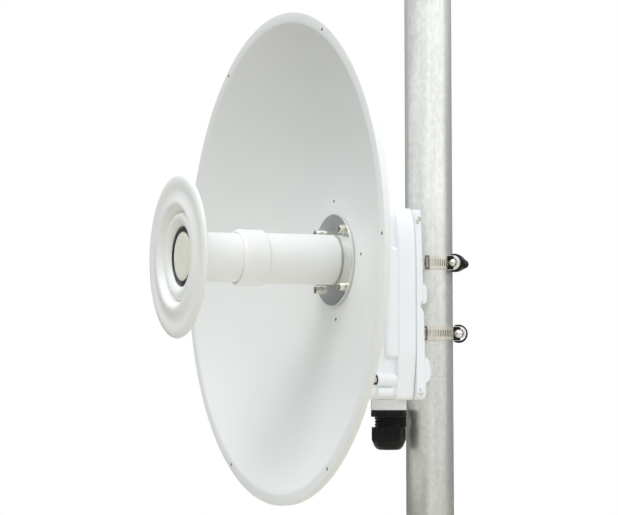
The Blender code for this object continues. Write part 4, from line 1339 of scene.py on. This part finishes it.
# Studio: the photo's camera, a pale floor, soft light from above and from the camera's right
studio = {
    "cameraSpot": (1.6315, -0.8769, 0.5231),
    "yaw": math.radians(65.681),
    "pitch": math.radians(4.111),
    "sensor": 36,
    "lens": 1746.06 / 618 * 36,  # 1746 pixels of focal length on a frame 618 wide
    "floorRadius": 2.4,
    "floorDrop": 0.0005,
    "floorTone": (0.62, 0.58, 0.50),
    "floorShade": (0.58, 0.545, 0.47),
    "sky": (  # from straight down, 0, to straight up, 1: where, and how bright
        (0.49, 0.04), (0.51, 0.24), (0.64, 0.22), (0.66, 1.06), (0.79, 1.02), (0.81, 1.72),
        (1.0, 1.0), (1.0, 1.72),
    ),
    "skyTone": (0.935, 0.970, 1.0),
    "aim": (0, -0.12, 0.65),
    "lights": {  # spot, size, watts, tone
        "key": ((0.48, -1.54, 2.55), (1.0, 1.0), 10.6, (0.985, 0.995, 1.0)),
        "high": ((0.50, -0.90, 2.90), (1.2, 1.2), 7.2, (0.95, 0.98, 1.0)),
        "side": ((2.15, 1.30, 1.35), (2.6, 1.8), 11.4, (0.97, 0.985, 1.0)),
        "sideFront": ((2.30, -0.90, 1.10), (1.9, 1.6), 6.2, (1.0, 1.0, 1.0)),
    },
}


def makeCamera():
    yaw, pitch = studio["yaw"], studio["pitch"]
    right = Vector((math.cos(yaw), math.sin(yaw), 0))
    flat = Vector((-math.sin(yaw), math.cos(yaw), 0))
    upright = Vector((0, 0, 1))
    forward = math.cos(pitch) * flat + math.sin(pitch) * upright
    up = math.cos(pitch) * upright - math.sin(pitch) * flat
    data = bpy.data.cameras.new("photo camera")
    data.lens = studio["lens"]
    data.sensor_width = studio["sensor"]
    data.clip_end = 50
    camera = placed("photo camera", data)
    turn = Matrix((right, up, -forward)).transposed().to_4x4()
    camera.matrix_world = Matrix.Translation(studio["cameraSpot"]) @ turn
    bpy.context.scene.camera = camera


def softbox(name, spot, size, power, tone):
    data = bpy.data.lights.new(name, "AREA")
    data.shape = "RECTANGLE"
    data.size, data.size_y = size
    data.energy = power
    data.color = tone
    light = placed(name, data)
    light.location = spot
    light.rotation_euler = (Vector(studio["aim"]) - Vector(spot)).to_track_quat("-Z", "Y").to_euler()


def makeStudio():
    work = bmesh.new()
    bmesh.ops.create_circle(work, cap_ends=True, segments=96, radius=studio["floorRadius"])
    mesh = bpy.data.meshes.new("floor")
    work.to_mesh(mesh)
    work.free()
    floor = placed("floor", mesh)
    floor.location.z = -studio["floorDrop"]
    finish = Finish("floor_paint")
    tone = finish.spread(finish.noise(2.5, 4.0), 0.3, 0.7)
    colour = finish.blend(tone, studio["floorShade"], studio["floorTone"])
    mesh.materials.append(finish.surface({"Base Color": colour, "Roughness": 0.7}))

    world = bpy.data.worlds.new("studio")
    bpy.context.scene.world = world
    air = Graph(world)
    upward = air.node("SeparateXYZ", {}, {0: air.node("TexCoord", output="Generated")}, "Z")
    stops = [(at, (level, level, level)) for at, level in studio["sky"]]
    level = air.node("ValToRGB", {"stops": stops}, {0: upward * 0.5 + 0.5})
    ambient = air.node("Background", {}, {"Color": studio["skyTone"], "Strength": level})
    backdrop = air.node("Background", {}, {"Color": (1.0, 1.0, 1.0), "Strength": 1.0})
    seen = air.node("LightPath", output="Is Camera Ray")
    both = air.node("MixShader", {}, {0: seen, 1: ambient, 2: backdrop})
    air.node("OutputWorld", {}, {"Surface": both})
    for name, light in studio["lights"].items():
        softbox(name, *light)
    bpy.context.scene.view_settings.view_transform = "Standard"


makeCamera()
makeStudio()
print("studio made")
